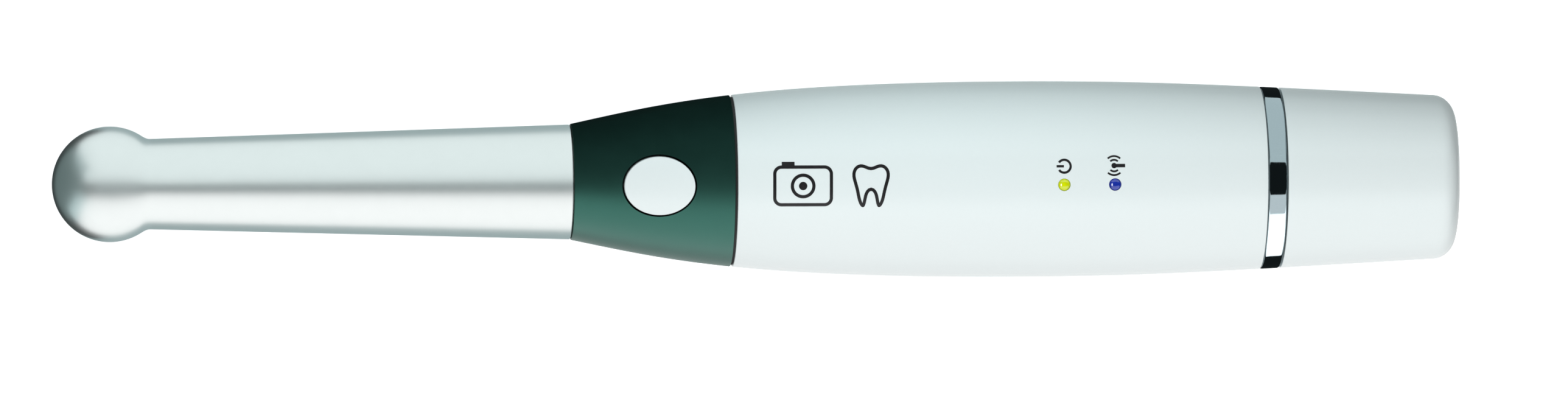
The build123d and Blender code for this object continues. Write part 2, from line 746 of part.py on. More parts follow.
def light_pipe(x):
    """A clear light pipe with a shoulder inside the casing and a domed end outside."""
    place = [(x, 0)]
    with BuildPart() as pipe:
        add(round_post(PIPE_R, 22.1, PIPE_TOP_Z, place))
        fillet(pipe.edges().group_by(Axis.Z)[-1], 0.35)
        add(round_post(1.3, 23.0, 23.5, place))
    return pipe


power_light_pipe = light_pipe(INDICATOR_X[0])
power_light_pipe.part.label = "power_light_pipe"

link_light_pipe = light_pipe(INDICATOR_X[1])
link_light_pipe.part.label = "link_light_pipe"

# ---------------------------------------------------------------- battery bay
sleeve_outer = round_rod(SLEEVE_R, SLEEVE_X[0], SLEEVE_X[1], AXIS_Z)
sleeve_hollow = round_rod(SLEEVE_BORE, SLEEVE_X[0] + SLEEVE_WALL, SLEEVE_X[1], AXIS_Z)
lead_hole = round_rod(0.55, SLEEVE_X[0], SLEEVE_X[0] + SLEEVE_WALL, BOARD_Z[1] + 0.5)
with BuildPart() as battery_sleeve:
    add(sleeve_outer)
    add(sleeve_hollow, mode=Mode.SUBTRACT)
    add(lead_hole, mode=Mode.SUBTRACT)
battery_sleeve.part.label = "battery_sleeve"

cell_rod = round_rod(CELL_R, CELL_X[0], CELL_X[1], AXIS_Z)
with BuildPart() as battery_cell:
    add(cell_rod)
    fillet(battery_cell.edges().filter_by(GeomType.CIRCLE), 0.6)
battery_cell.part.label = "battery_cell"

terminal_rod = round_rod(TERMINAL_R, CELL_X[0] - TERMINAL_L, CELL_X[0], AXIS_Z)
with BuildPart() as battery_terminal:
    add(terminal_rod)
battery_terminal.part.label = "battery_terminal"

contact_x = SLEEVE_X[0] + SLEEVE_WALL
with BuildPart() as front_contact:
    add(round_rod(4.5, contact_x, contact_x + 0.4, AXIS_Z))
    add(
        band(
            [
                (contact_x + 0.3, AXIS_Z - 3.4),
                (47.6, AXIS_Z - 1.4),
                (47.6, AXIS_Z + 1.4),
                (contact_x + 0.3, AXIS_Z + 3.4),
            ],
            0.6,
            0.3,
            3.0,
        )
    )
front_contact.part.label = "front_contact"

with BuildPart() as power_lead:
    add(round_rod(0.5, BOARD_X[1] - 0.4, contact_x, BOARD_Z[1] + 0.5))
power_lead.part.label = "power_lead"

with BuildPart() as ground_strip:
    add(band([(68.9, 4.4), (42.0, 4.4), (42.0, 11.45), (38.8, 11.45)], 0.8, 0.3, 3.0))
ground_strip.part.label = "ground_strip"

# ---------------------------------------------------------------- rear cap
cap_outer = form(0, CAP_X, HALF + 1)
cap_hollow = form(WALL, CAP_WEB_X, CAP_INSIDE_X)
plug = oval_rod(PLUG, PLUG_X, CAP_WEB_X)
plug_hollow = oval_rod(PLUG_BORE, PLUG_X, CAP_WEB_X)
seal_groove = oval_rod((PLUG[0] + 1, PLUG[1] + 1), CAP_SEAL_X[0], CAP_SEAL_X[1])
groove_floor = oval_rod((PLUG[0] - 0.6, PLUG[1] - 0.6), CAP_SEAL_X[0], CAP_SEAL_X[1])
with BuildPart() as plug_groove:
    add(seal_groove)
    add(groove_floor, mode=Mode.SUBTRACT)
with BuildPart() as rear_cap:
    add(cap_outer)
    with Locations((HALF - CAP_DOME_R, 0, AXIS_Z)):
        Sphere(CAP_DOME_R, mode=Mode.INTERSECT)
    fillet(rear_cap.edges().sort_by(Axis.X)[-1], CAP_EDGE_R)
    add(cap_hollow, mode=Mode.SUBTRACT)
    add(plug)
    add(plug_hollow, mode=Mode.SUBTRACT)
    add(plug_groove.part, mode=Mode.SUBTRACT)
rear_cap.part.label = "rear_cap"

cap_seal_outer = oval_rod((PLUG[0] + 0.07, PLUG[1] + 0.07), CAP_SEAL_X[0] + 0.05, CAP_SEAL_X[1] - 0.05)
cap_seal_inner = oval_rod((PLUG[0] - 0.55, PLUG[1] - 0.55), CAP_SEAL_X[0] - 1, CAP_SEAL_X[1] + 1)
with BuildPart() as cap_seal:
    add(cap_seal_outer)
    add(cap_seal_inner, mode=Mode.SUBTRACT)
cap_seal.part.label = "cap_seal"

with BuildPart() as rear_contact:
    add(block((CAP_INSIDE_X - 0.4, CAP_INSIDE_X), 6.0, (AXIS_Z - 5.5, AXIS_Z + 5.5)))
    add(
        band(
            [
                (CAP_INSIDE_X - 0.3, AXIS_Z - 4.6),
                (CELL_X[1] + 0.25, AXIS_Z - 1.6),
                (CELL_X[1] + 0.25, AXIS_Z + 1.6),
                (CAP_INSIDE_X - 0.3, AXIS_Z + 4.6),
            ],
            1.0,
            0.3,
            4.0,
        )
    )
rear_contact.part.label = "rear_contact"

# ---------------------------------------------------------------- export
PIECES = [
    tip_shell,
    window_bezel,
    window_glass,
    illumination_lenses,
    illumination_leds,
    led_board,
    lens_barrel,
    front_lens,
    rear_lens,
    focus_module,
    camera_carrier,
    image_sensor,
    sensor_board,
    sensor_ribbon,
    ribbon_guide,
    tip_seal,
    tip_screws,
    collar_shell,
    collar_seal,
    button_cap,
    button_pad,
    tact_switch,
    switch_plunger,
    switch_board,
    switch_flex,
    chassis,
    chassis_screws,
    board_screws,
    main_board,
    video_processor,
    memory_chips,
    radio_module,
    antenna,
    ribbon_connector,
    small_components,
    power_components,
    lower_casing,
    upper_casing,
    casing_screws,
    trim_ring,
    indicator_board,
    indicator_leds,
    indicator_flex,
    power_light_pipe,
    link_light_pipe,
    battery_sleeve,
    battery_cell,
    battery_terminal,
    front_contact,
    power_lead,
    ground_strip,
    rear_cap,
    cap_seal,
    rear_contact,
]
os.makedirs("parts", exist_ok=True)
for piece in PIECES:
    export_step(piece.part, f"parts/{piece.part.label}.step")
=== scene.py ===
"""Cordless intraoral camera: its visible shells, finishes and studio, laid out as an add-on."""

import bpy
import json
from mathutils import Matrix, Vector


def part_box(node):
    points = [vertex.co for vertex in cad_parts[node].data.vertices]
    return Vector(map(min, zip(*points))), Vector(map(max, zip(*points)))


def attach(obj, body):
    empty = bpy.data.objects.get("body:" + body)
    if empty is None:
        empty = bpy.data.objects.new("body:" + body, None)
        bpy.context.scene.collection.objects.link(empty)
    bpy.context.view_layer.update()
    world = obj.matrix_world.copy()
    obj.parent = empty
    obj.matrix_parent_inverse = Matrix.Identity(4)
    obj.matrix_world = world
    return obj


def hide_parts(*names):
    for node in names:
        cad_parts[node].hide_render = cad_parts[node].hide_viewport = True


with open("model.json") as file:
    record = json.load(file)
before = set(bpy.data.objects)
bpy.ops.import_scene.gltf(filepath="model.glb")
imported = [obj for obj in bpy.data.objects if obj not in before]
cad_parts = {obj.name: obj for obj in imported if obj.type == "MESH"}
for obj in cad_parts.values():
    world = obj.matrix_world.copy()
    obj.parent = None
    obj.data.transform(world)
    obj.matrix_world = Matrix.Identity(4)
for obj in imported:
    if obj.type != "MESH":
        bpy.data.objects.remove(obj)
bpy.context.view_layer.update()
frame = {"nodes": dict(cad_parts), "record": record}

import json
import math
from contextlib import contextmanager

import bpy
from bpy.props import FloatProperty, FloatVectorProperty, IntProperty, PointerProperty
from mathutils import Matrix, Vector

bl_info = {
    "name": "Intraoral camera",
    "version": (1, 0, 0),
    "blender": (4, 5, 0),
    "location": "3D View > Sidebar > Intraoral camera",
    "description": "Models the shells, marks, finishes and studio of a cordless intraoral camera",
    "category": "Object",
}

MM = 0.001
MERGE = 0.0005 * MM  # points of a CAD node closer than this are one

# The handle's outer form: (x, half width, half height, height of its centre) in millimetres.
SECTIONS = (
    (-28.0, 8.6, 8.6, 13.5),
    (-15.5, 11.15, 10.5, 13.2),
    (-3.9, 12.8, 11.75, 12.9),
    (16.0, 14.2, 12.7, 12.6),
    (38.0, 14.6, 13.0, 12.5),
    (58.0, 14.35, 12.8, 12.5),
    (77.0, 13.55, 12.1, 12.5),
    (106.5, 12.0, 10.7, 12.5),
)


def low(name):
    """Lowest corner of a CAD node, in millimetres."""
    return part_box(name)[0] / MM


def high(name):
    """Highest corner of a CAD node, in millimetres."""
    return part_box(name)[1] / MM


def middle(name):
    """Centre of a CAD node's box, in millimetres."""
    return (low(name) + high(name)) / 2


AXIS_Z = middle("battery_cell").z  # centre line of the handle
TIP_Z = middle("tip_shell").z  # centre line of the tip
CLEAR_Z = 40.0  # well above the handle, where what is projected on it starts

# Fixed sizes, in millimetres, that fit the visible shells to the parts inside.
HEAD_R = high("tip_shell").y  # the head is a flattened ball, round when seen from above
HEAD_RISE = 7.0  # half its thickness
TUBE_AT_HEAD = 6.54  # the tube's radius under the head and at the collar
TUBE_AT_REAR = 8.55
TIP_WALL = 1.1
TIP_LIP = 0.25  # rounding of the tip's rear edge
SPIGOT_R = 7.55  # the tip's end inside the collar
SPIGOT_BORE = (-29.5, 6.2)  # where its straight bore starts, and the bore's radius
FLAT_Z = low("window_bezel").z  # the flat face under the head
FLAT_R = 6.1
COLLAR_WALL = 1.6
COLLAR_BORE = 7.6
BUTTON_OVAL = (5.24, 4.35)  # half length and half width
BUTTON_GAP = 0.28
BUTTON_PROUD = 0.35  # how far its crown stands above the collar
FLANGE_Z = (19.3, 20.1)  # underside and top of its flange
STEM_R = 1.5
NECK_FRONT = 1.65  # how far the casings' necks lie inside the form
NECK_REAR = 1.4
NECK_BORE = 2.9
MOUTH_X = 71.0  # where the casings' rear bore starts
MOUTH = (10.8, 9.35)  # half width and half height of that bore
CASING_WALL = 1.8
PIPE_R = 0.85  # the lamps' light pipes
PIPE_FLANGE = (1.3, 23.0, 23.5)  # their flange's radius, underside and top
PIPE_DOME = 0.42
SCREW_R = 1.35
SCREW_WELL = (1.5, 4.0)  # radius and top of the wells for the casings' screws
RING_EDGE = 0.35
RING_WALL = 1.33
PLUG = (10.55, 9.1)  # half width and half height of the part of the cap inside the casings
PLUG_BORE = (9.3, 7.85)
PLUG_END = 80.0  # where that bore widens into the cap
CAP_SEAM = 0.12  # gap between the ring and the cap
CAP_EDGE = 3.0
DOME_R = 110.0


# ---------------------------------------------------------------- sizes and colours
def length(name, description, value_mm):
    """A length property with its default in millimetres."""
    return FloatProperty(
        name=name, description=description, default=value_mm * MM, unit="LENGTH"
    )


def angle(name, description, degrees):
    """An angle property with its default in degrees."""
    return FloatProperty(
        name=name, description=description, default=math.radians(degrees), unit="ROTATION"
    )


def brightness(name, description, value):
    """The radiance of a light."""
    return FloatProperty(name=name, description=description, default=value, min=0)


class CameraSizes(bpy.types.PropertyGroup):
    """Sizes that a user may change without touching the frame."""

    ring_segments: IntProperty(
        name="Segments", description="Points round each shell", default=128, min=32, max=256
    )
    edge_radius: length("Edge radius", "Rounding of the shells' edges at their seams", 0.12)
    seam_gap: length("Seam gap", "Gap between two shells", 0.06)
    print_stroke: length("Print stroke", "Line width of the small printed marks", 0.34)
    print_thickness: length(
        "Print thickness", "How far the printed ink stands on the casing", 0.02
    )


def linear(code):
    """Turns an sRGB hex colour into linear values."""
    channels = [int(code[i : i + 2], 16) / 255 for i in (1, 3, 5)]
    return [c / 12.92 if c <= 0.04045 else ((c + 0.055) / 1.055) ** 2.4 for c in channels]


def colour(name, description, code):
    """A colour property with an sRGB hex default."""
    return FloatVectorProperty(
        name=name, description=description, subtype="COLOR", default=linear(code), min=0, max=1
    )


class CameraColours(bpy.types.PropertyGroup):
    """Colours of the visible finishes."""

    aluminium: colour("Aluminium", "Blasted and anodised tip", "#e1e5e4")
    casing: colour("Casing", "Glossy white plastic", "#e9efef")
    collar: colour("Collar", "Dark green soft-touch sleeve", "#122723")
    collar_gloss: colour("Collar gloss", "Tint of the sleeve's sheen", "#7fd9c4")
    chrome: colour("Chrome", "Plated trim ring", "#9fadb2")
    ink: colour("Ink", "Printed marks", "#161416")
    power_lamp: colour("Power lamp", "Power indicator", "#c9d400")
    link_lamp: colour("Link lamp", "Radio indicator", "#1a2f9a")


# ---------------------------------------------------------------- materials
def add_node(tree, kind, inputs=None, **settings):
    """Adds a node, with its settings, and with each input set to a value or linked to a socket."""
    made = tree.nodes.new(kind)
    for name, value in settings.items():
        setattr(made, name, value)
    for name, value in (inputs or {}).items():
        if isinstance(value, bpy.types.NodeSocket):
            tree.links.new(value, made.inputs[name])
        else:
            made.inputs[name].default_value = value
    return made


def new_finish(name):
    """An empty node material, with the piece's own coordinates."""
    finish = bpy.data.materials.new(name)
    finish.use_nodes = True
    tree = finish.node_tree
    tree.nodes.clear()
    place = add_node(tree, "ShaderNodeTexCoord").outputs["Object"]
    return finish, tree, place


def close_finish(finish, tree, inputs):
    """Ends a material with a Principled shader."""
    shader = add_node(tree, "ShaderNodeBsdfPrincipled", inputs)
    add_node(tree, "ShaderNodeOutputMaterial", {"Surface": shader.outputs["BSDF"]})
    return finish


def grain(tree, place, size_mm, detail=2.0):
    """Noise whose lumps are size_mm across."""
    return add_node(
        tree, "ShaderNodeTexNoise", {"Vector": place, "Scale": 1 / (size_mm * MM), "Detail": detail}
    ).outputs["Fac"]


def spread(tree, value, lowest, highest):
    """Maps noise, which stays near its middle, to a range."""
    return add_node(
        tree,
        "ShaderNodeMapRange",
        {"Value": value, "From Min": 0.3, "From Max": 0.7, "To Min": lowest, "To Max": highest},
    ).outputs["Result"]


def bumps(tree, height, depth_mm, strength=1.0):
    """Turns a height pattern into a bump of a real depth."""
    return add_node(
        tree, "ShaderNodeBump", {"Height": height, "Distance": depth_mm * MM, "Strength": strength}
    ).outputs["Normal"]


def tinted(tree, value, dark, light):
    """Mixes two linear colours by a value from 0 to 1."""
    mix = add_node(tree, "ShaderNodeMix", data_type="RGBA")
    tree.links.new(value, mix.inputs["Factor"])
    mix.inputs["A"].default_value = (*dark, 1)
    mix.inputs["B"].default_value = (*light, 1)
    return mix.outputs["Result"]


def mottled(tree, pattern, base, dark=1.0, light=1.0):
    """A linear colour that noise makes a little darker or lighter."""
    return tinted(tree, spread(tree, pattern, 0, 1), shade(base, dark), shade(base, light))


def shade(colour_value, factor):
    """A linear colour made lighter or darker."""
    return [min(1.0, c * factor) for c in colour_value]


def blasted_aluminium():
    """Bead-blasted, clear anodised aluminium: a fine pearl grain that spreads highlights softly."""
    finish, tree, place = new_finish("blasted_anodised_aluminium")
    base = bpy.context.scene.camera_colours.aluminium
    cloud = grain(tree, place, 2.5, 3.0)
    beads = grain(tree, place, 0.16, 2.0)
    return close_finish(
        finish,
        tree,
        {
            "Base Color": mottled(tree, cloud, base, 0.985),
            "Metallic": 1.0,
            "Roughness": spread(tree, beads, 0.32, 0.37),
            "Normal": bumps(tree, beads, 0.002, 0.5),
        },
    )


def gloss_casing():
    """Glossy white ABS: smooth from a polished tool, with a faint long ripple in reflections."""
    finish, tree, place = new_finish("gloss_white_abs")
    base = bpy.context.scene.camera_colours.casing
    ripple = grain(tree, place, 6.0, 1.0)
    specks = grain(tree, place, 0.5, 2.0)
    return close_finish(
        finish,
        tree,
        {
            "Base Color": mottled(tree, specks, base, 0.993),
            "Roughness": spread(tree, specks, 0.24, 0.27),
            "Normal": bumps(tree, ripple, 0.005, 0.2),
        },
    )


def soft_touch():
    """Soft-touch coated elastomer: a dense fine grain, dull, with a broad weak sheen."""
    finish, tree, place = new_finish("soft_touch_elastomer")
    base = bpy.context.scene.camera_colours.collar
    skin = grain(tree, place, 0.12, 3.0)
    cloud = grain(tree, place, 3.0, 2.0)
    return close_finish(
        finish,
        tree,
        {
            "Base Color": mottled(tree, cloud, base, 0.92, 1.06),
            "Roughness": spread(tree, skin, 0.38, 0.46),
            "Specular IOR Level": 1.0,
            "Specular Tint": (*bpy.context.scene.camera_colours.collar_gloss, 1),
            "Normal": bumps(tree, skin, 0.008, 0.35),
        },
    )


def polished_chrome():
    """Chrome plate on a polished ring: a mirror with very faint hairlines from wiping."""
    finish, tree, place = new_finish("polished_chrome_plate")
    base = bpy.context.scene.camera_colours.chrome
    hairs = grain(tree, place, 0.3, 4.0)
    return close_finish(
        finish,
        tree,
        {
            "Base Color": mottled(tree, hairs, base, 0.98),
            "Metallic": 1.0,
            "Roughness": spread(tree, hairs, 0.03, 0.06),
        },
    )


def plain_finish(name, dark, light, roughness, size_mm, depth_mm, more=None):
    """A finish with colour, roughness and relief that all follow one grain of size_mm."""
    finish, tree, place = new_finish(name)
    pattern = grain(tree, place, size_mm, 3.0)
    inputs = {
        "Base Color": tinted(tree, spread(tree, pattern, 0, 1), linear(dark), linear(light)),
        "Roughness": spread(tree, pattern, roughness[0], roughness[1]),
        "Normal": bumps(tree, pattern, depth_mm, 0.4),
    }
    inputs.update(more or {})
    return close_finish(finish, tree, inputs)


def lamp_resin(name, base):
    """Tinted clear resin over a lamp: glossy, deep in colour and lit from below."""
    finish, tree, place = new_finish(name)
    depth = grain(tree, place, 0.6, 2.0)
    tint = mottled(tree, depth, base, 0.8)
    return close_finish(
        finish,
        tree,
        {
            "Base Color": tint,
            "Roughness": 0.06,
            "IOR": 1.5,
            "Coat Weight": 1.0,
            "Coat Roughness": 0.02,
            "Emission Color": tint,
            "Emission Strength": 0.3,
        },
    )


def pad_print(base):
    """Pad-printed ink: a satin film with slightly uneven density."""
    finish, tree, place = new_finish("pad_printed_ink")
    density = grain(tree, place, 0.25, 2.0)
    return close_finish(
        finish,
        tree,
        {
            "Base Color": mottled(tree, density, base, 0.8, 1.2),
            "Roughness": spread(tree, density, 0.3, 0.42),
        },
    )


def circuit_board():
    """Fibreglass board under green solder mask, with copper tracks showing as slight ridges."""
    finish, tree, place = new_finish("green_solder_mask")
    tracks = add_node(
        tree,
        "ShaderNodeTexBrick",
        {
            "Vector": place,
            "Scale": 1 / (1.6 * MM),
            "Mortar Size": 0.06,
            "Color1": (0, 0, 0, 1),
            "Color2": (0, 0, 0, 1),
            "Mortar": (1, 1, 1, 1),
        },
    ).outputs["Color"]
    return close_finish(
        finish,
        tree,
        {
            "Base Color": tinted(tree, tracks, linear("#0b3d22"), linear("#1c6a3d")),
            "Roughness": 0.3,
            "Normal": bumps(tree, tracks, 0.02, 0.4),
        },
    )


def optical_glass():
    """Coated optical glass: clear, with a dim violet bloom in its reflections."""
    finish, tree, place = new_finish("coated_optical_glass")
    bloom = grain(tree, place, 2.0, 1.0)
    return close_finish(
        finish,
        tree,
        {
            "Base Color": tinted(tree, bloom, linear("#dfe6ff"), linear("#f4f0ff")),
            "Roughness": 0.02,
            "IOR": 1.52,
            "Transmission Weight": 1.0,
        },
    )


# What is mostly hidden: name, dark and light colour, roughness, grain and relief in mm, and more.
PLAIN_FINISHES = {
    # fine black oxide over aluminium, dull so that it throws no light at the lens
    "black_anodised": (
        "black_anodised_aluminium",
        "#0b0b0c",
        "#151517",
        (0.35, 0.45),
        0.1,
        0.004,
        {"Metallic": 0.6},
    ),
    # small moulded lenses with a frosted core
    "lamp_lens": (
        "frosted_acrylic", "#e9ead8", "#fbfbf0", (0.12, 0.2), 0.2, 0.004, {"Coat Weight": 0.6}
    ),
    # yellow phosphor under silicone
    "led_chip": ("led_phosphor", "#d9a520", "#f2c640", (0.3, 0.4), 0.15, 0.01),
    # spark-eroded black nylon
    "black_plastic": ("black_nylon", "#0d0d0e", "#1b1b1d", (0.45, 0.6), 0.2, 0.02),
    # bare silicon with an oily tint
    "sensor_chip": ("silicon_die", "#1b2233", "#2c3350", (0.08, 0.14), 0.8, 0.002),
    # amber film with copper under it
    "flex_circuit": ("polyimide_film", "#8a4b12", "#b5651c", (0.2, 0.3), 0.9, 0.01),
    # nitrile: dull black with a talc bloom
    "black_rubber": ("nitrile_rubber", "#0c0c0c", "#1c1c1c", (0.55, 0.7), 0.3, 0.02),
    # zinc plated steel
    "steel_screw": (
        "zinc_plated_steel", "#8f9498", "#b9bdbf", (0.25, 0.4), 0.2, 0.006, {"Metallic": 1.0}
    ),
    # translucent grey silicone
    "grey_silicone": (
        "grey_silicone", "#5c6063", "#6e7275", (0.4, 0.5), 0.3, 0.01, {"Sheen Weight": 0.3}
    ),
    # glass-filled nylon with visible fibre
    "grey_plastic": ("glass_filled_nylon", "#2d3032", "#45484b", (0.4, 0.55), 0.35, 0.02),
    # black epoxy packages
    "chip_package": ("epoxy_package", "#121214", "#202023", (0.4, 0.5), 0.12, 0.01),
    # tinned steel can
    "shield_can": (
        "tinned_steel", "#a9adb0", "#c6c9cb", (0.2, 0.35), 1.2, 0.01, {"Metallic": 1.0}
    ),
    # unglazed ceramic
    "antenna_ceramic": ("fired_ceramic", "#d6d2c6", "#e6e3da", (0.45, 0.55), 0.25, 0.01),
    # shrink film over the cell's can
    "cell_wrap": (
        "pvc_shrink_film", "#123b6b", "#1d5596", (0.15, 0.25), 2.0, 0.03, {"Coat Weight": 0.5}
    ),
    # nickel plate on spring steel
    "plated_contact": (
        "nickel_plate", "#b3ab97", "#cfc8b6", (0.12, 0.25), 0.8, 0.005, {"Metallic": 1.0}
    ),
    # soft red insulation
    "red_wire": ("red_pvc", "#8e1010", "#b01818", (0.35, 0.45), 0.3, 0.01),
}
FINISHES = {}


def make_finishes():
    """Makes every finish once, under the name of the record's material slot."""
    colours = bpy.context.scene.camera_colours
    FINISHES.update(
        satin_aluminium=blasted_aluminium(),
        white_gloss_plastic=gloss_casing(),
        collar_soft_touch=soft_touch(),
        polished_chrome=polished_chrome(),
        clear_glass=optical_glass(),
        circuit_board=circuit_board(),
        green_light_pipe=lamp_resin("green_lamp_resin", colours.power_lamp),
        blue_light_pipe=lamp_resin("blue_lamp_resin", colours.link_lamp),
        printed_ink=pad_print(colours.ink),
    )
    for slot, row in PLAIN_FINISHES.items():
        FINISHES[slot] = plain_finish(*row)


def give_finish(piece, slot, finish=None):
    """Puts one finish on a piece: the one made for the record's slot, or the finish named instead.
    """
    piece.data.materials.clear()
    piece.data.materials.append(FINISHES[finish or slot])


# ---------------------------------------------------------------- modelling helpers
def clear_selection():
    """Nothing stays selected."""
    bpy.ops.object.select_all(action="DESELECT")


def curvatures():
    """Second derivatives of a natural cubic spline through SECTIONS, one row for each place."""
    places = [row[0] for row in SECTIONS]
    count = len(places)
    rows = [[0.0, 0.0, 0.0] for _ in places]
    factors = [0.0] * count
    for i in range(1, count - 1):
        before, after = places[i] - places[i - 1], places[i + 1] - places[i]
        pivot = 2 * (before + after) - before * factors[i - 1]
        factors[i] = after / pivot
        for k in range(3):
            rise = (SECTIONS[i + 1][k + 1] - SECTIONS[i][k + 1]) / after
            fall = (SECTIONS[i][k + 1] - SECTIONS[i - 1][k + 1]) / before
            rows[i][k] = (6 * (rise - fall) - before * rows[i - 1][k]) / pivot
    for i in range(count - 2, 0, -1):
        for k in range(3):
            rows[i][k] -= factors[i] * rows[i + 1][k]
    return rows


CURVATURES = curvatures()


def section(x):
    """Half width, half height and centre height of the handle's form at x, in millimetres."""
    i = 0
    while i < len(SECTIONS) - 2 and x > SECTIONS[i + 1][0]:
        i += 1
    step = SECTIONS[i + 1][0] - SECTIONS[i][0]
    a, b = (SECTIONS[i + 1][0] - x) / step, (x - SECTIONS[i][0]) / step
    return [
        a * SECTIONS[i][k + 1]
        + b * SECTIONS[i + 1][k + 1]
        + ((a**3 - a) * CURVATURES[i][k] + (b**3 - b) * CURVATURES[i + 1][k]) * step**2 / 6
        for k in range(3)
    ]


def steps(start, end, count):
    """Evenly spaced places from start to end."""
    return [start + (end - start) * i / count for i in range(count + 1)]


def lip(x, inset, radius, outward, count=5):
    """A rounded edge from the skin at inset round to a face at x: (x, inset) places in that order.

    outward is 1 where the face looks along +X and -1 where it looks along -X."""
    return [
        (x - outward * radius * (1 - math.sin(turn)), inset + radius * (1 - math.cos(turn)))
        for turn in steps(0, math.pi / 2, count)
    ]


def on_form(profile):
    """Rings on the handle's form: each (x, inset) is the form's oval at x, shrunk by inset."""
    rings = []
    for x, inset in profile:
        half_width, half_height, centre = section(x)
        rings.append((x, half_width - inset, half_height - inset, centre))
    return rings


def make_active(piece):
    """Selects one piece alone."""
    clear_selection()
    piece.select_set(True)
    bpy.context.view_layer.objects.active = piece


@contextmanager
def editing():
    """Edit mode on the active piece, with all of it selected at first."""
    bpy.ops.object.mode_set(mode="EDIT")
    bpy.ops.mesh.select_all(action="SELECT")
    yield
    bpy.ops.object.mode_set(mode="OBJECT")


def extrude_ring(move, change, centre):
    """Extrudes the selected ring by a move and scales it about its centre, both in metres."""
    bpy.ops.mesh.extrude_edges_move(TRANSFORM_OT_translate={"value": move})
    bpy.ops.transform.resize(value=change, center_override=centre)


def close_ends(ends):
    """Fills both ends or bridges one to the other, unless they stay open; faces look outwards."""
    if ends != "open":
        bpy.ops.mesh.select_all(action="DESELECT")
        bpy.ops.mesh.select_non_manifold()
        if ends == "fill":
            bpy.ops.mesh.fill_holes(sides=0)
        else:
            bpy.ops.mesh.bridge_edge_loops()
    bpy.ops.mesh.select_all(action="SELECT")
    bpy.ops.mesh.normals_make_consistent(inside=False)


def stack(name, rings, ends="fill", segments=None):
    """Extrudes an oval ring through (x, half width, half height, centre height) places, in mm.

    ends is "fill" to close both ends, "bridge" to join them to each other, or "open"."""
    clear_selection()
    count = segments or bpy.context.scene.camera_sizes.ring_segments
    x, half_width, half_height, centre = rings[0]
    bpy.ops.mesh.primitive_circle_add(
        vertices=count, radius=1, fill_type="NOTHING", rotation=(0, math.pi / 2, 0)
    )
    piece = bpy.context.object
    piece.name = name
    bpy.ops.object.transform_apply(location=True, rotation=True, scale=True)
    with editing():
        bpy.ops.transform.rotate(value=math.pi / count, orient_axis="X", center_override=(0, 0, 0))
        bpy.ops.transform.resize(
            value=(1, half_width * MM, half_height * MM), center_override=(0, 0, 0)
        )
        bpy.ops.transform.translate(value=(x * MM, 0, centre * MM))
        for next_x, next_width, next_height, next_centre in rings[1:]:
            extrude_ring(
                ((next_x - x) * MM, 0, (next_centre - centre) * MM),
                (1, next_width / half_width, next_height / half_height),
                (next_x * MM, 0, next_centre * MM),
            )
            x, half_width, half_height, centre = next_x, next_width, next_height, next_centre
        close_ends(ends)
    return piece


def upright(name, rings, place=(0, 0), oval=(1, 1), segments=64):
    """Extrudes a ring upwards through (radius, height) places round a point, both ends closed."""
    clear_selection()
    radius, level = rings[0]
    bpy.ops.mesh.primitive_circle_add(vertices=segments, radius=1, fill_type="NOTHING")
    piece = bpy.context.object
    piece.name = name
    with editing():
        bpy.ops.transform.resize(value=(radius * MM, radius * MM, 1), center_override=(0, 0, 0))
        bpy.ops.transform.translate(value=(0, 0, level * MM))
        for next_radius, next_level in rings[1:]:
            change = next_radius / radius
            extrude_ring((0, 0, (next_level - level) * MM), (change, change, 1), (0, 0, 0))
            radius, level = next_radius, next_level
        bpy.ops.mesh.select_all(action="SELECT")
        bpy.ops.transform.resize(value=(oval[0], oval[1], 1), center_override=(0, 0, 0))
        bpy.ops.transform.translate(value=(place[0] * MM, place[1] * MM, 0))
        close_ends("fill")
    return piece


def modify(piece, kind, **settings):
    """Adds one modifier to a piece and applies it."""
    make_active(piece)
    added = piece.modifiers.new(kind.title(), kind)
    for name, value in settings.items():
        setattr(added, name, value)
    bpy.ops.object.modifier_apply(modifier=added.name)


def cut(piece, cutter):
    """Takes the cutter's shape out of a piece and removes the cutter."""
    modify(piece, "BOOLEAN", operation="DIFFERENCE", solver="EXACT", object=cutter)
    bpy.data.objects.remove(cutter)


def slice_off(piece, level, keep_above):
    """Cuts a piece level at a height in millimetres, keeps one side and closes the cut."""
    make_active(piece)
    with editing():
        bpy.ops.mesh.bisect(
            plane_co=(0, 0, level * MM),
            plane_no=(0, 0, 1),
            use_fill=True,
            clear_inner=keep_above,
            clear_outer=not keep_above,
        )


def project_down(piece, start, end, count, height_mm, segments, group=""):
    """Lays a piece, or its group of points, on the handle's form made larger by a height."""
    crown = on_form([(x, -height_mm) for x in steps(start, end, count)])
    crown = stack("crown", crown, "open", segments)
    modify(
        piece,
        "SHRINKWRAP",
        target=crown,
        wrap_method="PROJECT",
        use_project_z=True,
        use_negative_direction=True,
        use_positive_direction=False,
        vertex_group=group,
    )
    bpy.data.objects.remove(crown)


def soften(piece, width_mm, degrees=35, segments=2):
    """Rounds the sharp edges of a piece."""
    modify(
        piece,
        "BEVEL",
        width=width_mm * MM,
        segments=segments,
        limit_method="ANGLE",
        angle_limit=math.radians(degrees),
    )


def shade_smooth(piece, degrees=32):
    """Smooth shading, with creases kept where faces meet more steeply than this."""
    make_active(piece)
    bpy.ops.object.shade_smooth_by_angle(angle=math.radians(degrees))


def place_piece(piece, body, slot, *nodes):
    """Finishes a piece: its material, the body that it rides on and the CAD nodes it stands for."""
    give_finish(piece, slot)
    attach(piece, body)
    if nodes:
        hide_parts(*nodes)
    return piece


def slot_of(node):
    """The material slot that the record gives a CAD node."""
    for row in frame["record"]["subparts"]:
        if row["node"] == node:
            return row["material_slot"]
    raise ValueError(f"the record names no material slot for {node}")


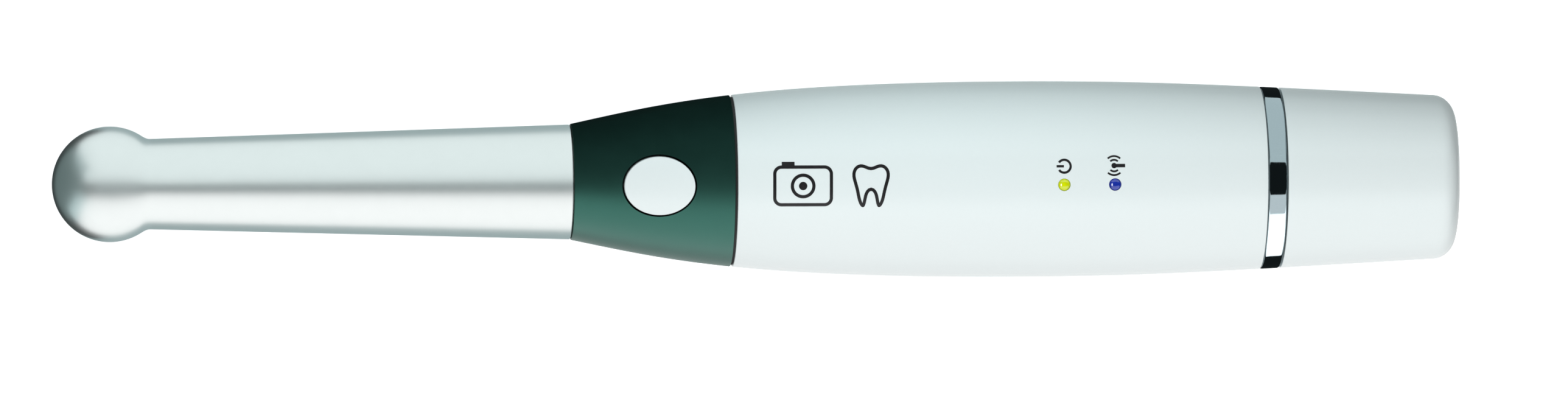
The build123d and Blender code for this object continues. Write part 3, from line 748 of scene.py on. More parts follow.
def merged_copy(node, body, slot, degrees=30):
    """A smooth-shaded copy of a CAD node with its loose triangles merged."""
    clear_selection()
    source = frame["nodes"][node]
    piece = bpy.data.objects.new(node + "_smooth", source.data.copy())
    bpy.context.scene.collection.objects.link(piece)
    make_active(piece)
    with editing():
        bpy.ops.mesh.remove_doubles(threshold=MERGE)
    shade_smooth(piece, degrees)
    return place_piece(piece, body, slot, node)


def smooth_copies(body, *nodes):
    """Smooth copies of CAD nodes, each with the finish that the record gives it."""
    for node in nodes:
        merged_copy(node, body, slot_of(node))


# ---------------------------------------------------------------- operators: finishes and shells
class CAMERA_OT_finishes(bpy.types.Operator):
    """Make the finishes and give every CAD node the one that the record names"""

    bl_idname = "intraoral.finishes"
    bl_label = "Finishes"

    def execute(self, context):
        make_finishes()
        for row in frame["record"]["subparts"]:
            node = frame["nodes"][row["node"]]
            if not node.material_slots:
                node.data.materials.append(None)
            for place in node.material_slots:
                place.material = FINISHES[row["material_slot"]]
        return {"FINISHED"}


def tip_radii(x, inset=0.0):
    """Half width and half height of the tip at x: the flattened ball blended with the tube."""
    head, tail = low("tip_shell").x, low("collar_shell").x
    radius = HEAD_R - inset
    rise = HEAD_RISE - inset
    centre = head + HEAD_R
    reach = max(0.0, 1 - ((x - centre) / radius) ** 2) ** 0.5
    tube = TUBE_AT_HEAD + (TUBE_AT_REAR - TUBE_AT_HEAD) * (x - centre) / (tail - centre) - inset
    if x < centre:
        return radius * reach, rise * reach
    return blended(radius * reach, tube), blended(rise * reach, tube)


def blended(first, second, blend=0.55):
    """The larger of two values, with a smooth change from one to the other."""
    mix = max(0.0, 1 - abs(first - second) / blend)
    return max(first, second) + mix * mix * blend / 4


class CAMERA_OT_tip(bpy.types.Operator):
    """Model the aluminium tip: flattened ball, slender tube, flat with its bezel seat, spigot"""

    bl_idname = "intraoral.tip"
    bl_label = "Tip"

    def execute(self, context):
        gap = context.scene.camera_sizes.seam_gap / MM
        nose, seam = low("tip_shell").x, low("collar_shell").x - gap
        centre = nose + HEAD_R
        turns = steps(0, math.pi / 2, 26)[1:]
        places = [nose + 0.004] + [centre - HEAD_R * math.cos(turn) for turn in turns]
        places += steps(centre, centre + HEAD_R, 40)[1:]
        places += steps(centre + HEAD_R, seam - 0.3, 34)[1:]
        rings = [(x, *tip_radii(x), TIP_Z) for x in places]
        rim = tip_radii(seam)[0]
        for x, inset in lip(seam, 0, TIP_LIP, 1)[1:]:
            rings.append((x, rim - inset, rim - inset, TIP_Z))
        end = high("tip_shell").x
        rings += [(x, SPIGOT_R, SPIGOT_R, TIP_Z) for x in (seam, end)]
        tip = stack("tip", rings)

        inner = [centre - (HEAD_R - TIP_WALL) * math.cos(turn) for turn in turns]
        straight, bore = SPIGOT_BORE
        inner += steps(centre, centre + HEAD_R, 30)[1:] + steps(centre + HEAD_R, straight, 10)[1:]
        hollow = [(nose + TIP_WALL + 0.01, 0.3, 0.3, TIP_Z)]
        hollow += [(x, *tip_radii(x, TIP_WALL), TIP_Z) for x in inner]
        hollow += [(x, bore, bore, TIP_Z) for x in (straight + 0.1, end + 1)]
        hollow = stack("tip_hollow", hollow)
        seat = high("window_bezel").z
        floor = upright("head_floor", [(FLAT_R, 0), (FLAT_R, seat)], (centre, 0), segments=96)
        cut(hollow, floor)
        under = [(FLAT_R + FLAT_Z + 1, -1), (FLAT_R, FLAT_Z)]
        cut(tip, upright("head_flat", under, (centre, 0), segments=96))
        cut(tip, hollow)
        recess = high("window_bezel").y + 0.05
        cut(tip, upright("bezel_seat", [(recess, FLAT_Z - 1), (recess, seat)], (centre, 0)))
        shade_smooth(tip, 28)
        place_piece(tip, "handpiece", "satin_aluminium", "tip_shell")
        smooth_copies("handpiece", "tip_seal", "tip_screws")
        return {"FINISHED"}


class CAMERA_OT_window(bpy.types.Operator):
    """Smooth the window, its bezel, the lamps round it and the lenses behind it"""

    bl_idname = "intraoral.window"
    bl_label = "Camera window"

    def execute(self, context):
        bezel = merged_copy("window_bezel", "handpiece", "black_anodised", 30)
        soften(bezel, 0.08)
        shade_smooth(bezel)
        smooth_copies(
            "handpiece",
            "window_glass",
            "illumination_lenses",
            "front_lens",
            "rear_lens",
            "lens_barrel",
        )
        return {"FINISHED"}


class CAMERA_OT_collar(bpy.types.Operator):
    """Model the soft-touch collar with the button's opening"""

    bl_idname = "intraoral.collar"
    bl_label = "Collar"

    def execute(self, context):
        sizes = context.scene.camera_sizes
        gap, edge = sizes.seam_gap / MM, sizes.edge_radius / MM
        start, end = low("collar_shell").x + gap / 2, high("collar_shell").x - gap / 2
        profile = lip(start, 0, edge, -1)[::-1]
        profile += [(x, 0) for x in steps(start + edge, end - edge, 44)[1:-1]]
        profile += lip(end, 0, edge, 1)
        profile += [(end, COLLAR_WALL)]
        shoulder = high("tip_shell").x
        profile += [(x, COLLAR_WALL) for x in steps(end - 0.5, shoulder, 12)]
        rings = on_form(profile)
        rings += [(x, COLLAR_BORE, COLLAR_BORE, TIP_Z) for x in (shoulder, start)]
        collar = stack("collar", rings, ends="bridge")
        place = (middle("button_cap").x, 0)
        oval = (BUTTON_OVAL[0] + BUTTON_GAP, BUTTON_OVAL[1] + BUTTON_GAP)
        cut(collar, upright("button_hole", [(1, FLANGE_Z[0]), (1, 30)], place, oval, 96))
        shade_smooth(collar)
        place_piece(collar, "handpiece", "collar_soft_touch", "collar_shell")
        merged_copy("collar_seal", "handpiece", "black_rubber")
        return {"FINISHED"}


class CAMERA_OT_button(bpy.types.Operator):
    """Model the capture button, crowned to the collar's surface"""

    bl_idname = "intraoral.button"
    bl_label = "Capture button"

    def execute(self, context):
        place = (middle("button_cap").x, 0)
        bottom, flange = FLANGE_Z
        rings = [(1, flange), (1, 21.0)]
        for reach in (1, 0.97, 0.94, 0.9, 0.84, 0.76, 0.66, 0.54, 0.4, 0.25, 0.1):
            rings.append((reach, CLEAR_Z))
        cap = upright("capture_button", rings, place, BUTTON_OVAL, 96)
        top = cap.vertex_groups.new(name="top")
        top.add([v.index for v in cap.data.vertices if v.co.z > (CLEAR_Z - 1) * MM], 1, "REPLACE")
        project_down(cap, place[0] - 7.5, place[0] + 7.5, 90, BUTTON_PROUD, 768, "top")
        make_active(cap)
        bpy.ops.object.vertex_group_remove(all=True)
        soften(cap, 0.4, 50, 5)
        shade_smooth(cap, 40)
        place_piece(cap, "button", "white_gloss_plastic", "button_cap")
        reach = high("button_cap").y
        rim = [(reach, bottom), (reach, flange), (1.2, flange)]
        oval = ((BUTTON_OVAL[0] + reach - BUTTON_OVAL[1]) / reach, 1)
        skirt = upright("button_flange", rim, place, oval, 96)
        soften(skirt, 0.1)
        shade_smooth(skirt)
        place_piece(skirt, "button", "black_plastic")
        post = [(STEM_R, low("button_cap").z), (STEM_R, bottom + 0.1)]
        post = upright("button_stem", post, place, segments=32)
        soften(post, 0.15)
        shade_smooth(post)
        place_piece(post, "button", "white_gloss_plastic")
        return {"FINISHED"}


class CAMERA_OT_casings(bpy.types.Operator):
    """Model the upper and lower casings, split along the middle, with the flat on the belly"""

    bl_idname = "intraoral.casings"
    bl_label = "Casings"

    def execute(self, context):
        sizes = context.scene.camera_sizes
        gap, edge = sizes.seam_gap / MM, sizes.edge_radius / MM
        start, end = high("collar_seal").x + gap / 2, low("trim_ring").x - gap / 2
        front, rear = low("upper_casing").x, high("upper_casing").x
        lamps = [middle("power_light_pipe").x, middle("link_light_pipe").x]
        along = steps(start + edge, end - edge, 84)[1:-1]
        for lamp in lamps:
            along = [x for x in along if abs(x - lamp) > 1.5] + steps(lamp - 1.4, lamp + 1.4, 8)
        profile = lip(start, 0, edge, -1)[::-1]
        profile += [(x, 0) for x in sorted(along)]
        profile += lip(end, 0, edge, 1) + [(end, NECK_REAR), (rear, NECK_REAR)]
        rings = on_form(profile)
        rings += [(rear, *MOUTH, AXIS_Z), (MOUTH_X, *MOUTH, AXIS_Z)]
        inner = [(x, CASING_WALL) for x in steps(MOUTH_X, -1.0, 36)]
        inner += [(-1.0, NECK_BORE), (front, NECK_BORE), (front, NECK_FRONT), (start, NECK_FRONT)]
        rings += on_form(inner)
        lower = stack("lower_handle_shell", rings, ends="bridge")
        make_active(lower)
        bpy.ops.object.duplicate(linked=False)
        upper = bpy.context.object
        upper.name = "upper_handle_shell"
        slice_off(upper, AXIS_Z + gap / 2, keep_above=True)
        soften(upper, edge, 50)
        slice_off(lower, AXIS_Z - gap / 2, keep_above=False)
        soften(lower, edge, 50)
        # the belly is cut flat where it would pass below z = 0
        ground = 0.3
        bpy.ops.mesh.primitive_cube_add(size=ground, location=(0, 0, -ground / 2))
        cut(lower, bpy.context.object)
        bore = high("power_light_pipe").z
        for lamp in lamps:
            hole = [(PIPE_R + 0.08, 22.0), (PIPE_R + 0.08, bore + 4)]
            cut(upper, upright("pipe_hole", hole, (lamp, 0), segments=48))
        for side in (-1, 1):
            place = (middle("casing_screws").x, side * (high("casing_screws").y - SCREW_R))
            well = [(SCREW_WELL[0], -2), SCREW_WELL]
            cut(lower, upright("screw_well", well, place, segments=48))
        shade_smooth(upper)
        shade_smooth(lower)
        place_piece(upper, "handpiece", "white_gloss_plastic", "upper_casing")
        place_piece(lower, "handpiece", "white_gloss_plastic", "lower_casing")
        smooth_copies("handpiece", "casing_screws")
        return {"FINISHED"}


class CAMERA_OT_lamps(bpy.types.Operator):
    """Model the two domed light pipes that stand in the upper casing"""

    bl_idname = "intraoral.lamps"
    bl_label = "Lamps"

    def execute(self, context):
        for node, slot in (
            ("power_light_pipe", "green_light_pipe"),
            ("link_light_pipe", "blue_light_pipe"),
        ):
            reach, under, over = PIPE_FLANGE
            rings = [(PIPE_R, low(node).z), (PIPE_R, under), (reach, under), (reach, over)]
            rings.append((PIPE_R, over))
            for turn in steps(0, math.pi / 2, 9):
                height = high(node).z - PIPE_DOME * (1 - math.sin(turn))
                rings.append((max(PIPE_R * math.cos(turn), 0.04), height))
            name = node.replace("light_pipe", "lamp")
            lamp = upright(name, rings, (middle(node).x, 0), segments=48)
            shade_smooth(lamp, 45)
            place_piece(lamp, "handpiece", slot, node)
        return {"FINISHED"}


def flat_start(name):
    """A small square, to be shaped into a flat mark above the handle."""
    clear_selection()
    bpy.ops.mesh.primitive_plane_add(size=1, location=(0, 0, 0))
    mark = bpy.context.object
    mark.name = name
    return mark


def arc_stroke(name, place, radius, width, start, sweep):
    """A flat arc of ink: an edge across the stroke, spun round a place; degrees from +X."""
    mark = flat_start(name)
    centre = (place[0] * MM, place[1] * MM, CLEAR_Z * MM)
    with editing():
        bpy.ops.mesh.merge(type="CENTER")
        bpy.ops.transform.translate(
            value=((place[0] + radius - width / 2) * MM, centre[1], centre[2])
        )
        bpy.ops.mesh.extrude_vertices_move(TRANSFORM_OT_translate={"value": (width * MM, 0, 0)})
        bpy.ops.mesh.select_all(action="SELECT")
        if start:
            turn = math.radians(start)
            bpy.ops.transform.rotate(value=-turn, orient_axis="Z", center_override=centre)
        bpy.ops.mesh.spin(
            steps=max(4, int(abs(sweep) / 8)),
            angle=math.radians(sweep),
            center=centre,
            axis=(0, 0, -1),
        )
        bpy.ops.mesh.select_all(action="SELECT")
        bpy.ops.mesh.remove_doubles(threshold=2 * MERGE)
    return mark


def bar_stroke(name, place, length_mm, width):
    """A flat bar of ink centred on a place, length along X and width along Y."""
    mark = flat_start(name)
    with editing():
        bpy.ops.transform.resize(
            value=(length_mm * MM, width * MM, 1), center_override=(0, 0, 0)
        )
        bpy.ops.transform.translate(value=(place[0] * MM, place[1] * MM, CLEAR_Z * MM))
        bpy.ops.mesh.subdivide(number_cuts=7)
    return mark


def blob_outline(name, place, points, stroke):
    """A closed outline of ink through given points, rounded, as wide as stroke."""
    clear_selection()
    bpy.ops.mesh.primitive_circle_add(vertices=len(points), radius=1, fill_type="NGON")
    mark = bpy.context.object
    mark.name = name
    for vertex, point in zip(mark.data.vertices, points):
        vertex.co = ((place[0] + point[0]) * MM, (place[1] + point[1]) * MM, CLEAR_Z * MM)
    with editing():
        bpy.ops.mesh.subdivide(number_cuts=2)
        bpy.ops.mesh.vertices_smooth(factor=0.5, repeat=4)
        bpy.ops.mesh.inset(thickness=stroke * MM, use_even_offset=True)
        bpy.ops.mesh.delete(type="FACE")
    return mark


def print_marks(name, marks):
    """Joins flat marks, lays them on the casing and gives them the thickness of the ink."""
    printed = marks[0]
    make_active(printed)
    for mark in marks[1:]:
        mark.select_set(True)
    if len(marks) > 1:
        bpy.ops.object.join()
    printed.name = name
    thickness = bpy.context.scene.camera_sizes.print_thickness
    span = [corner.co.x / MM for corner in printed.data.vertices]
    project_down(printed, min(span) - 1, max(span) + 1, 48, thickness / MM, 512)
    make_active(printed)
    with editing():
        bpy.ops.mesh.normals_make_consistent(inside=False)
    if printed.data.polygons[0].normal.z < 0:
        printed.data.flip_normals()
    modify(printed, "SOLIDIFY", thickness=thickness * 1.5, offset=-1)
    shade_smooth(printed, 40)
    place_piece(printed, "handpiece", "black_plastic")
    give_finish(printed, "black_plastic", "printed_ink")


# Half the outline of a molar, crown up, from its middle down its -X side, in millimetres.
HALF_TOOTH = (
    (-0.95, 2.7),
    (-1.9, 2.75),
    (-2.7, 2.05),
    (-2.9, 0.95),
    (-2.5, -0.25),
    (-2.2, -1.4),
    (-2.0, -2.6),
    (-1.6, -3.65),
    (-0.95, -3.9),
    (-0.7, -2.8),
    (-0.55, -1.65),
)
TOOTH = ((0.0, 2.05), *HALF_TOOTH, (0.0, -1.05), *((-x, y) for x, y in HALF_TOOTH[::-1]))
BOLD = 0.48  # stroke of the two large symbols
SYMBOL = (5.9, 0.0)  # centre of the camera symbol
SYMBOL_HALF = (4.2, 2.8)  # its half width and half height
SYMBOL_CORNER = 1.0


def camera_outline():
    """The strokes of a plain camera: a rounded body, a lens with its pupil, a release."""
    strokes = []
    flat = [2 * (half - SYMBOL_CORNER) + 0.02 for half in SYMBOL_HALF]
    for side in (-1, 1):
        rail = (SYMBOL[0], side * SYMBOL_HALF[1])
        stile = (SYMBOL[0] + side * SYMBOL_HALF[0], 0)
        strokes.append(bar_stroke("rail", rail, flat[0], BOLD))
        strokes.append(bar_stroke("stile", stile, BOLD, flat[1]))
        for other in (-1, 1):
            spot = (stile[0] - side * SYMBOL_CORNER, other * (SYMBOL_HALF[1] - SYMBOL_CORNER))
            start = {(1, 1): 0, (-1, 1): 90, (-1, -1): 180, (1, -1): 270}[(side, other)]
            strokes.append(arc_stroke("corner", spot, SYMBOL_CORNER, BOLD, start, 90))
    strokes.append(arc_stroke("lens", SYMBOL, 1.6, BOLD, 0, 360))
    strokes.append(arc_stroke("pupil", SYMBOL, 0.32, 0.6, 0, 360))
    strokes.append(bar_stroke("release", (SYMBOL[0] - 2.2, SYMBOL_HALF[1] + 0.5), 1.9, 0.55))
    return strokes


def radio_waves(place):
    """The strokes of a plain radio symbol: a mast, its source and two waves to each side."""
    source = (place[0] - 0.15, place[1])
    strokes = [bar_stroke("mast", (place[0] + 0.75, place[1]), 1.5, 0.5)]
    strokes.append(arc_stroke("source", source, 0.2, 0.4, 0, 360))
    for reach in (0.85, 1.4):
        for facing in (90, -90):
            strokes.append(arc_stroke("wave", source, reach, 0.27, facing - 42, 84))
    return strokes


class CAMERA_OT_marks(bpy.types.Operator):
    """Print the power and radio symbols by the lamps, and a camera and a tooth on the handle"""

    bl_idname = "intraoral.marks"
    bl_label = "Printed marks"

    def execute(self, context):
        stroke = context.scene.camera_sizes.print_stroke / MM
        power = (middle("power_light_pipe").x, 2.75)
        print_marks(
            "power_symbol",
            [
                arc_stroke("power_arc", power, 0.95, stroke, -145, 290),
                bar_stroke("power_bar", (power[0] - 0.6, power[1]), 1.1, stroke),
            ],
        )
        print_marks("radio_symbol", radio_waves((middle("link_light_pipe").x, 2.8)))
        print_marks("camera_symbol", camera_outline())
        print_marks("tooth_symbol", [blob_outline("tooth", (16.0, 0.5), TOOTH, BOLD)])
        return {"FINISHED"}


class CAMERA_OT_trim_ring(bpy.types.Operator):
    """Model the chrome ring between the casings and the cap"""

    bl_idname = "intraoral.trim_ring"
    bl_label = "Trim ring"

    def execute(self, context):
        start, end = low("trim_ring").x + 0.02, high("trim_ring").x - 0.02
        profile = lip(start, 0, RING_EDGE, -1, 8)[::-1]
        profile += [(x, 0) for x in steps(start + RING_EDGE, end - RING_EDGE, 6)[1:-1]]
        profile += lip(end, 0, RING_EDGE, 1, 8)
        profile += [(end, RING_WALL), (start, RING_WALL)]
        ring = stack("chrome_ring", on_form(profile), ends="bridge", segments=192)
        shade_smooth(ring, 40)
        place_piece(ring, "handpiece", "polished_chrome", "trim_ring")
        return {"FINISHED"}


class CAMERA_OT_battery_cap(bpy.types.Operator):
    """Model the pull-off battery cap with its domed end, plug and seal"""

    bl_idname = "intraoral.battery_cap"
    bl_label = "Battery cap"

    def execute(self, context):
        edge = context.scene.camera_sizes.edge_radius / MM
        front, end = low("rear_cap").x, high("rear_cap").x
        seam = high("trim_ring").x + CAP_SEAM
        centre = end - DOME_R
        half_width, half_height, _ = section(end - CAP_EDGE)
        reach = (half_width + half_height) / 2 - CAP_EDGE
        turn_x = centre + math.sqrt((DOME_R - CAP_EDGE) ** 2 - reach**2)
        last = math.pi / 2 - math.asin(reach / (DOME_R - CAP_EDGE))
        outer = [
            (turn_x + CAP_EDGE * math.sin(turn), CAP_EDGE * (1 - math.cos(turn)))
            for turn in steps(0, last, 14)
        ]
        side = [(x, 0) for x in steps(turn_x, seam + edge, 30)[1:-1]]
        turned = on_form(outer)
        rim_width, rim_height = turned[-1][1:3]
        rim = DOME_R * math.cos(last)
        dome = []
        for share in (0.004, 0.1, 0.2, 0.32, 0.45, 0.58, 0.7, 0.8, 0.9):
            x = centre + math.sqrt(DOME_R**2 - (share * rim) ** 2)
            dome.append((x, rim_width * share, rim_height * share, AXIS_Z))
        rings = dome + turned[::-1] + on_form(side + lip(seam, 0, edge, -1))
        seal = (low("cap_seal").x - 0.05, high("cap_seal").x + 0.05)
        groove = [half - 0.6 for half in PLUG]
        nose = [half - 0.3 for half in PLUG]
        rings += [
            (seam, *PLUG, AXIS_Z),
            (seal[1], *PLUG, AXIS_Z),
            (seal[1], *groove, AXIS_Z),
            (seal[0], *groove, AXIS_Z),
            (seal[0], *PLUG, AXIS_Z),
            (front + 0.3, *PLUG, AXIS_Z),
            (front, *nose, AXIS_Z),
            (front, *PLUG_BORE, AXIS_Z),
            (PLUG_END, *PLUG_BORE, AXIS_Z),
        ]
        inside = high("rear_contact").x
        rings += on_form([(x, CASING_WALL) for x in steps(PLUG_END, inside, 12)])
        rings += [(inside, 5.0, 4.5, AXIS_Z), (inside, 0.05, 0.05, AXIS_Z)]
        cap = stack("battery_cap", rings)
        shade_smooth(cap)
        place_piece(cap, "cap", "white_gloss_plastic", "rear_cap")
        merged_copy("cap_seal", "cap", "black_rubber")
        smooth_copies("cap", "rear_contact")
        return {"FINISHED"}


class CAMERA_OT_battery(bpy.types.Operator):
    """Smooth the cell, its terminal, the sleeve and the contacts that the open bay shows"""

    bl_idname = "intraoral.battery"
    bl_label = "Battery and bay"

    def execute(self, context):
        smooth_copies("cell", "battery_cell", "battery_terminal")
        smooth_copies("handpiece", "battery_sleeve", "front_contact", "ground_strip")
        return {"FINISHED"}


# ---------------------------------------------------------------- stage
class StageSettings(bpy.types.PropertyGroup):
    """The camera, the floor and the main lights."""

    distance: length("Distance", "Camera to handle", 2200)
    frame_width: length("Frame width", "Width of the view at the handle", 233.8)
    look_at: FloatVectorProperty(
        name="Look at",
        description="Point in the middle of the view",
        default=(0.00415, -0.00294, 0.0125),
        subtype="TRANSLATION",
    )
    lean_x: angle("Lean to the head", "Angle of the view from vertical towards the head", 5.0)
    lean_y: angle("Lean to the side", "Angle of the view from vertical towards +Y", 4.0)
    rise: angle("Rise", "Angle at which the handle rises to the right in the view", 0.31)
    key_radiance: brightness("Key", "Brightness of the softbox on the near side", 0.98)
    fill_radiance: brightness("Fill", "Brightness of the softbox on the far side", 0.92)
    shade_radiance: brightness("Shade", "Brightness of what the tip reflects elsewhere", 0.16)
    under_radiance: brightness("Under", "Brightness that the tip's sides reflect", 0.42)
    ahead_radiance: brightness("Ahead", "Brightness of what the tip's end reflects", 0.17)
    fill_tint: colour("Fill tint", "Colour of the softbox on the far side", "#ebf4f4")
    shade_tint: colour("Shade tint", "Colour of the weak light elsewhere", "#d4ecee")
    ahead_tint: colour("Ahead tint", "Colour of what the tip's end reflects", "#c6e6e5")
    floor: colour("Floor", "Pale floor", "#f4f4f4")


WHITE = (1, 1, 1)
SENSOR_WIDTH = 36.0  # millimetres
CASINGS = ["upper_handle_shell", "lower_handle_shell", "battery_cap"]


def area_light(name, location, rotation, size, radiance, tint=WHITE, sees="glossy"):
    """An area light of that size and radiance that either gloss reflects or dull surfaces catch."""
    clear_selection()
    bpy.ops.object.light_add(type="AREA", location=location, rotation=rotation)
    lamp = bpy.context.object
    lamp.name = name
    lamp.data.shape = "RECTANGLE"
    lamp.data.size, lamp.data.size_y = size
    lamp.data.energy = 4 * size[0] * size[1] * radiance
    lamp.data.color = tint
    lamp.visible_camera = False
    lamp.visible_diffuse = sees == "diffuse"
    lamp.visible_glossy = sees == "glossy"
    return lamp


def softbox(
    name, near, far, radiance, tint=WHITE, sees="glossy", distance=0.8, ends=(-0.85, 1.35)
):
    """A long light beside the handle that fills the sky between two angles from vertical.

    Angles in degrees, positive towards +Y; ends in metres along the handle."""
    turn = math.radians((near + far) / 2)
    width = 2 * distance * math.tan(math.radians(abs(far - near) / 2))
    place = (sum(ends) / 2, distance * math.sin(turn), AXIS_Z * MM + distance * math.cos(turn))
    size = (ends[1] - ends[0], width)
    return area_light(name, place, (-turn, 0, 0), size, radiance, tint, sees)


def light_only(lamp, names, state="INCLUDE"):
    """Limits a light to the named pieces, or keeps it off them."""
    group = bpy.data.collections.new(lamp.name + "_pieces")
    for name in names:
        group.objects.link(bpy.data.objects[name])
    for entry in group.collection_objects:
        entry.light_linking.link_state = state
    lamp.light_linking.receiver_collection = group


def lay_floor(tint):
    """A pale floor that the camera sees from above only, and that leaves the lights alone."""
    clear_selection()
    bpy.ops.mesh.primitive_plane_add(size=16, location=(0, 0, -0.1 * MM))
    floor = bpy.context.object
    floor.name = "floor"
    floor.visible_glossy = False
    floor.visible_diffuse = False
    floor.visible_shadow = False
    paper, tree, place = new_finish("matt_paper")
    front = add_node(
        tree,
        "ShaderNodeBsdfPrincipled",
        {
            "Base Color": mottled(tree, grain(tree, place, 3.0), tint, 0.99),
            "Roughness": 0.9,
            "Specular IOR Level": 0.0,
            "Emission Color": (*WHITE, 1),
            "Emission Strength": 0.65,
        },
    ).outputs["BSDF"]
    back = add_node(tree, "ShaderNodeBsdfTransparent").outputs["BSDF"]
    behind = add_node(tree, "ShaderNodeNewGeometry").outputs["Backfacing"]
    sides = mixed(tree, behind, front, back)
    add_node(tree, "ShaderNodeOutputMaterial", {"Surface": sides})
    floor.data.materials.append(paper)


def mixed(tree, share, first, second):
    """Two shaders mixed by a share."""
    mix = add_node(tree, "ShaderNodeMixShader", {"Fac": share})
    tree.links.new(first, mix.inputs[1])
    tree.links.new(second, mix.inputs[2])
    return mix.outputs["Shader"]


def hang_reflections(stage):
    """What polished and glossy surfaces reflect: two long softboxes with a dark gap above."""
    key, fill, fill_tint = stage.key_radiance, stage.fill_radiance, stage.fill_tint
    weak, weak_tint, under = stage.shade_radiance, stage.shade_tint, stage.under_radiance
    softbox("key_softbox", -20, -110, key)
    light_only(softbox("fill_softbox", 28, 122, fill, fill_tint), ["collar"], "EXCLUDE")
    for lamp in (
        softbox("ring_key", -40, -110, 1.4),
        softbox("ring_near", -17, -20, key),
        softbox("ring_far", 20, 28, fill, fill_tint),
    ):
        light_only(lamp, ["chrome_ring"])
    # the white casings also mirror pale light along their edges
    light_only(softbox("edge_far", 122, 185, 0.6, fill_tint), CASINGS)
    light_only(softbox("edge_near", -110, -180, 0.8), CASINGS + ["collar"])
    light_only(softbox("collar_key", -24, -110, 1.25), ["collar"])
    # the satin tip also sees a bright top, a narrow darker gap, and grey below and ahead
    ahead = ((-1.6, 0, AXIS_Z * MM), (0, -math.pi / 2, 0), (3.0, 3.0))
    for lamp in (
        softbox("tip_top", 4, 28, fill, fill_tint),
        softbox("tip_gap", -20, 4, weak, weak_tint, ends=(-0.5, 1.35)),
        softbox("tip_under", 122, 250, under, weak_tint, ends=(-0.2, 1.35)),
        softbox("tip_far_end", 12, 110, 0.34, weak_tint, ends=(-1.2, -0.85)),
        softbox("tip_key_end", -24, -110, 0.58, weak_tint, ends=(-1.6, -0.85)),
        area_light("tip_ahead", *ahead, stage.ahead_radiance, stage.ahead_tint),
    ):
        light_only(lamp, ["tip"])
    glint = ((-0.3, -0.05, 0.55), (0, -math.radians(32), 0), (0.22, 0.3))
    light_only(area_light("lamp_key", *glint, 9.0), ["power_lamp", "link_lamp"])


def hang_daylight(stage):
    """What dull surfaces catch: broad light from above and weaker light from the other sides."""
    broad = (2.5, 2.5)
    from_side = (-math.radians(54), 0, 0)
    weak = stage.shade_tint
    area_light("overhead", (-0.1, 0, 1.5), (0, 0, 0), broad, 1.3, linear("#f9fdfd"), "diffuse")
    area_light("underside", (0, 0, -1.5), (math.pi, 0, 0), broad, 0.45, weak, "diffuse")
    softbox("key_side", -40, -150, 0.84, sees="diffuse", distance=1.2)
    softbox("fill_side", 60, 125, 0.12, weak, "diffuse", distance=1.2)
    area_light("fill_near", (0.015, 0.08, 0.07), from_side, (0.1, 0.05), 1.35, weak, "diffuse")


def paint_surroundings(scene):
    """A dark studio that looks pale to the camera."""
    world = bpy.data.worlds.new("studio")
    scene.world = world
    world.use_nodes = True
    tree = world.node_tree
    tree.nodes.clear()
    seen = add_node(tree, "ShaderNodeLightPath").outputs["Is Camera Ray"]
    dark, pale = (
        add_node(
            tree, "ShaderNodeBackground", {"Color": (*tint, 1), "Strength": strength}
        ).outputs["Background"]
        for tint, strength in ((linear("#8fa0a3"), 0.05), ((0.9, 0.9, 0.9), 1.0))
    )
    add_node(tree, "ShaderNodeOutputWorld", {"Surface": mixed(tree, seen, dark, pale)})


def aim_camera(stage):
    """A distant camera above the handle, leaned a little to the head and to +Y."""
    away = Vector((-math.tan(stage.lean_x), math.tan(stage.lean_y), 1)).normalized()
    level = (Vector((1, 0, 0)) - away.x * away).normalized()
    up = away.cross(level)
    right = math.cos(stage.rise) * level - math.sin(stage.rise) * up
    up = away.cross(right)
    clear_selection()
    bpy.ops.object.camera_add()
    camera = bpy.context.object
    camera.name = "camera"
    camera.matrix_world = Matrix((right, up, away)).transposed().to_4x4()
    camera.location = Vector(stage.look_at) + away * stage.distance
    camera.data.sensor_width = SENSOR_WIDTH
    camera.data.lens = SENSOR_WIDTH * stage.distance / stage.frame_width
    camera.data.clip_start = 0.05
    camera.data.clip_end = 50
    bpy.context.scene.camera = camera


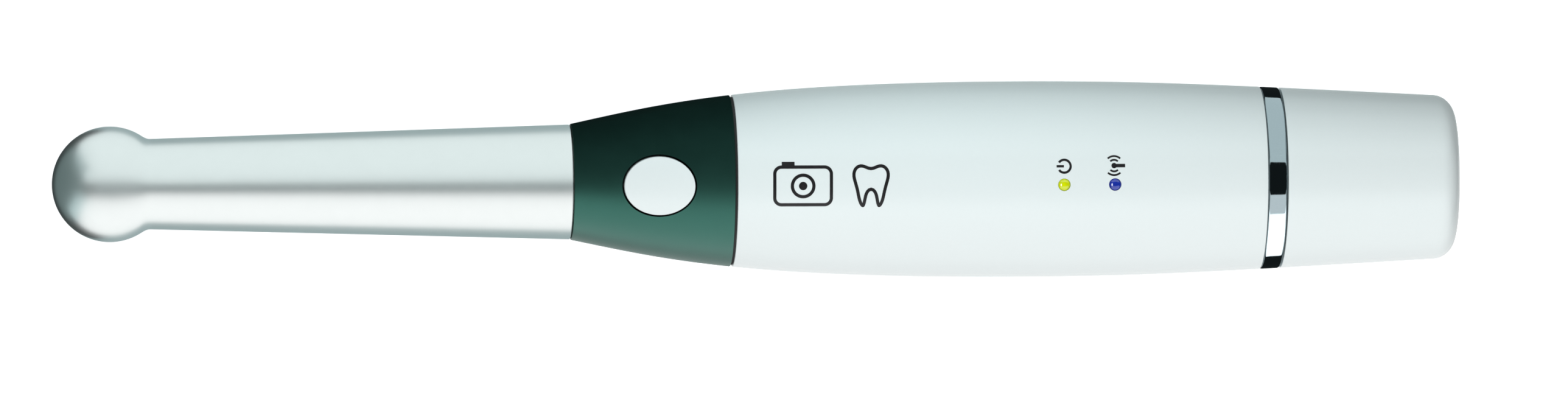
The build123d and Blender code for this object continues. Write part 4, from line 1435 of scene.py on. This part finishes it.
class CAMERA_OT_stage(bpy.types.Operator):
    """Set the pale floor, the softboxes, the surroundings and the camera"""

    bl_idname = "intraoral.stage"
    bl_label = "Stage"

    def execute(self, context):
        stage = context.scene.camera_stage
        lay_floor(stage.floor)
        hang_reflections(stage)
        hang_daylight(stage)
        paint_surroundings(context.scene)
        aim_camera(stage)
        context.scene.view_settings.view_transform = "Standard"
        return {"FINISHED"}


# ---------------------------------------------------------------- panel and registration
STEPS = (
    CAMERA_OT_finishes,
    CAMERA_OT_tip,
    CAMERA_OT_window,
    CAMERA_OT_collar,
    CAMERA_OT_button,
    CAMERA_OT_casings,
    CAMERA_OT_lamps,
    CAMERA_OT_marks,
    CAMERA_OT_trim_ring,
    CAMERA_OT_battery_cap,
    CAMERA_OT_battery,
    CAMERA_OT_stage,
)


class CAMERA_PT_panel(bpy.types.Panel):
    """Sizes, colours and steps of the intraoral camera."""

    bl_label = "Intraoral camera"
    bl_idname = "CAMERA_PT_panel"
    bl_space_type = "VIEW_3D"
    bl_region_type = "UI"
    bl_category = "Intraoral camera"

    def draw(self, context):
        scene = context.scene
        for group in (scene.camera_sizes, scene.camera_colours, scene.camera_stage):
            for name in group.__annotations__:
                self.layout.prop(group, name)
        for step in STEPS:
            self.layout.operator(step.bl_idname)


CLASSES = (CameraSizes, CameraColours, StageSettings, *STEPS, CAMERA_PT_panel)


def register():
    """Adds the operators, the panel and their settings."""
    for entry in CLASSES:
        bpy.utils.register_class(entry)
    bpy.types.Scene.camera_sizes = PointerProperty(type=CameraSizes)
    bpy.types.Scene.camera_colours = PointerProperty(type=CameraColours)
    bpy.types.Scene.camera_stage = PointerProperty(type=StageSettings)


def unregister():
    """Takes them away again."""
    del bpy.types.Scene.camera_stage
    del bpy.types.Scene.camera_colours
    del bpy.types.Scene.camera_sizes
    for entry in reversed(CLASSES):
        bpy.utils.unregister_class(entry)


def main():
    """Builds the whole object and its stage."""
    register()
    for step in STEPS:
        group, name = step.bl_idname.split(".")
        getattr(getattr(bpy.ops, group), name)()


if __name__ == "__main__":
    main()
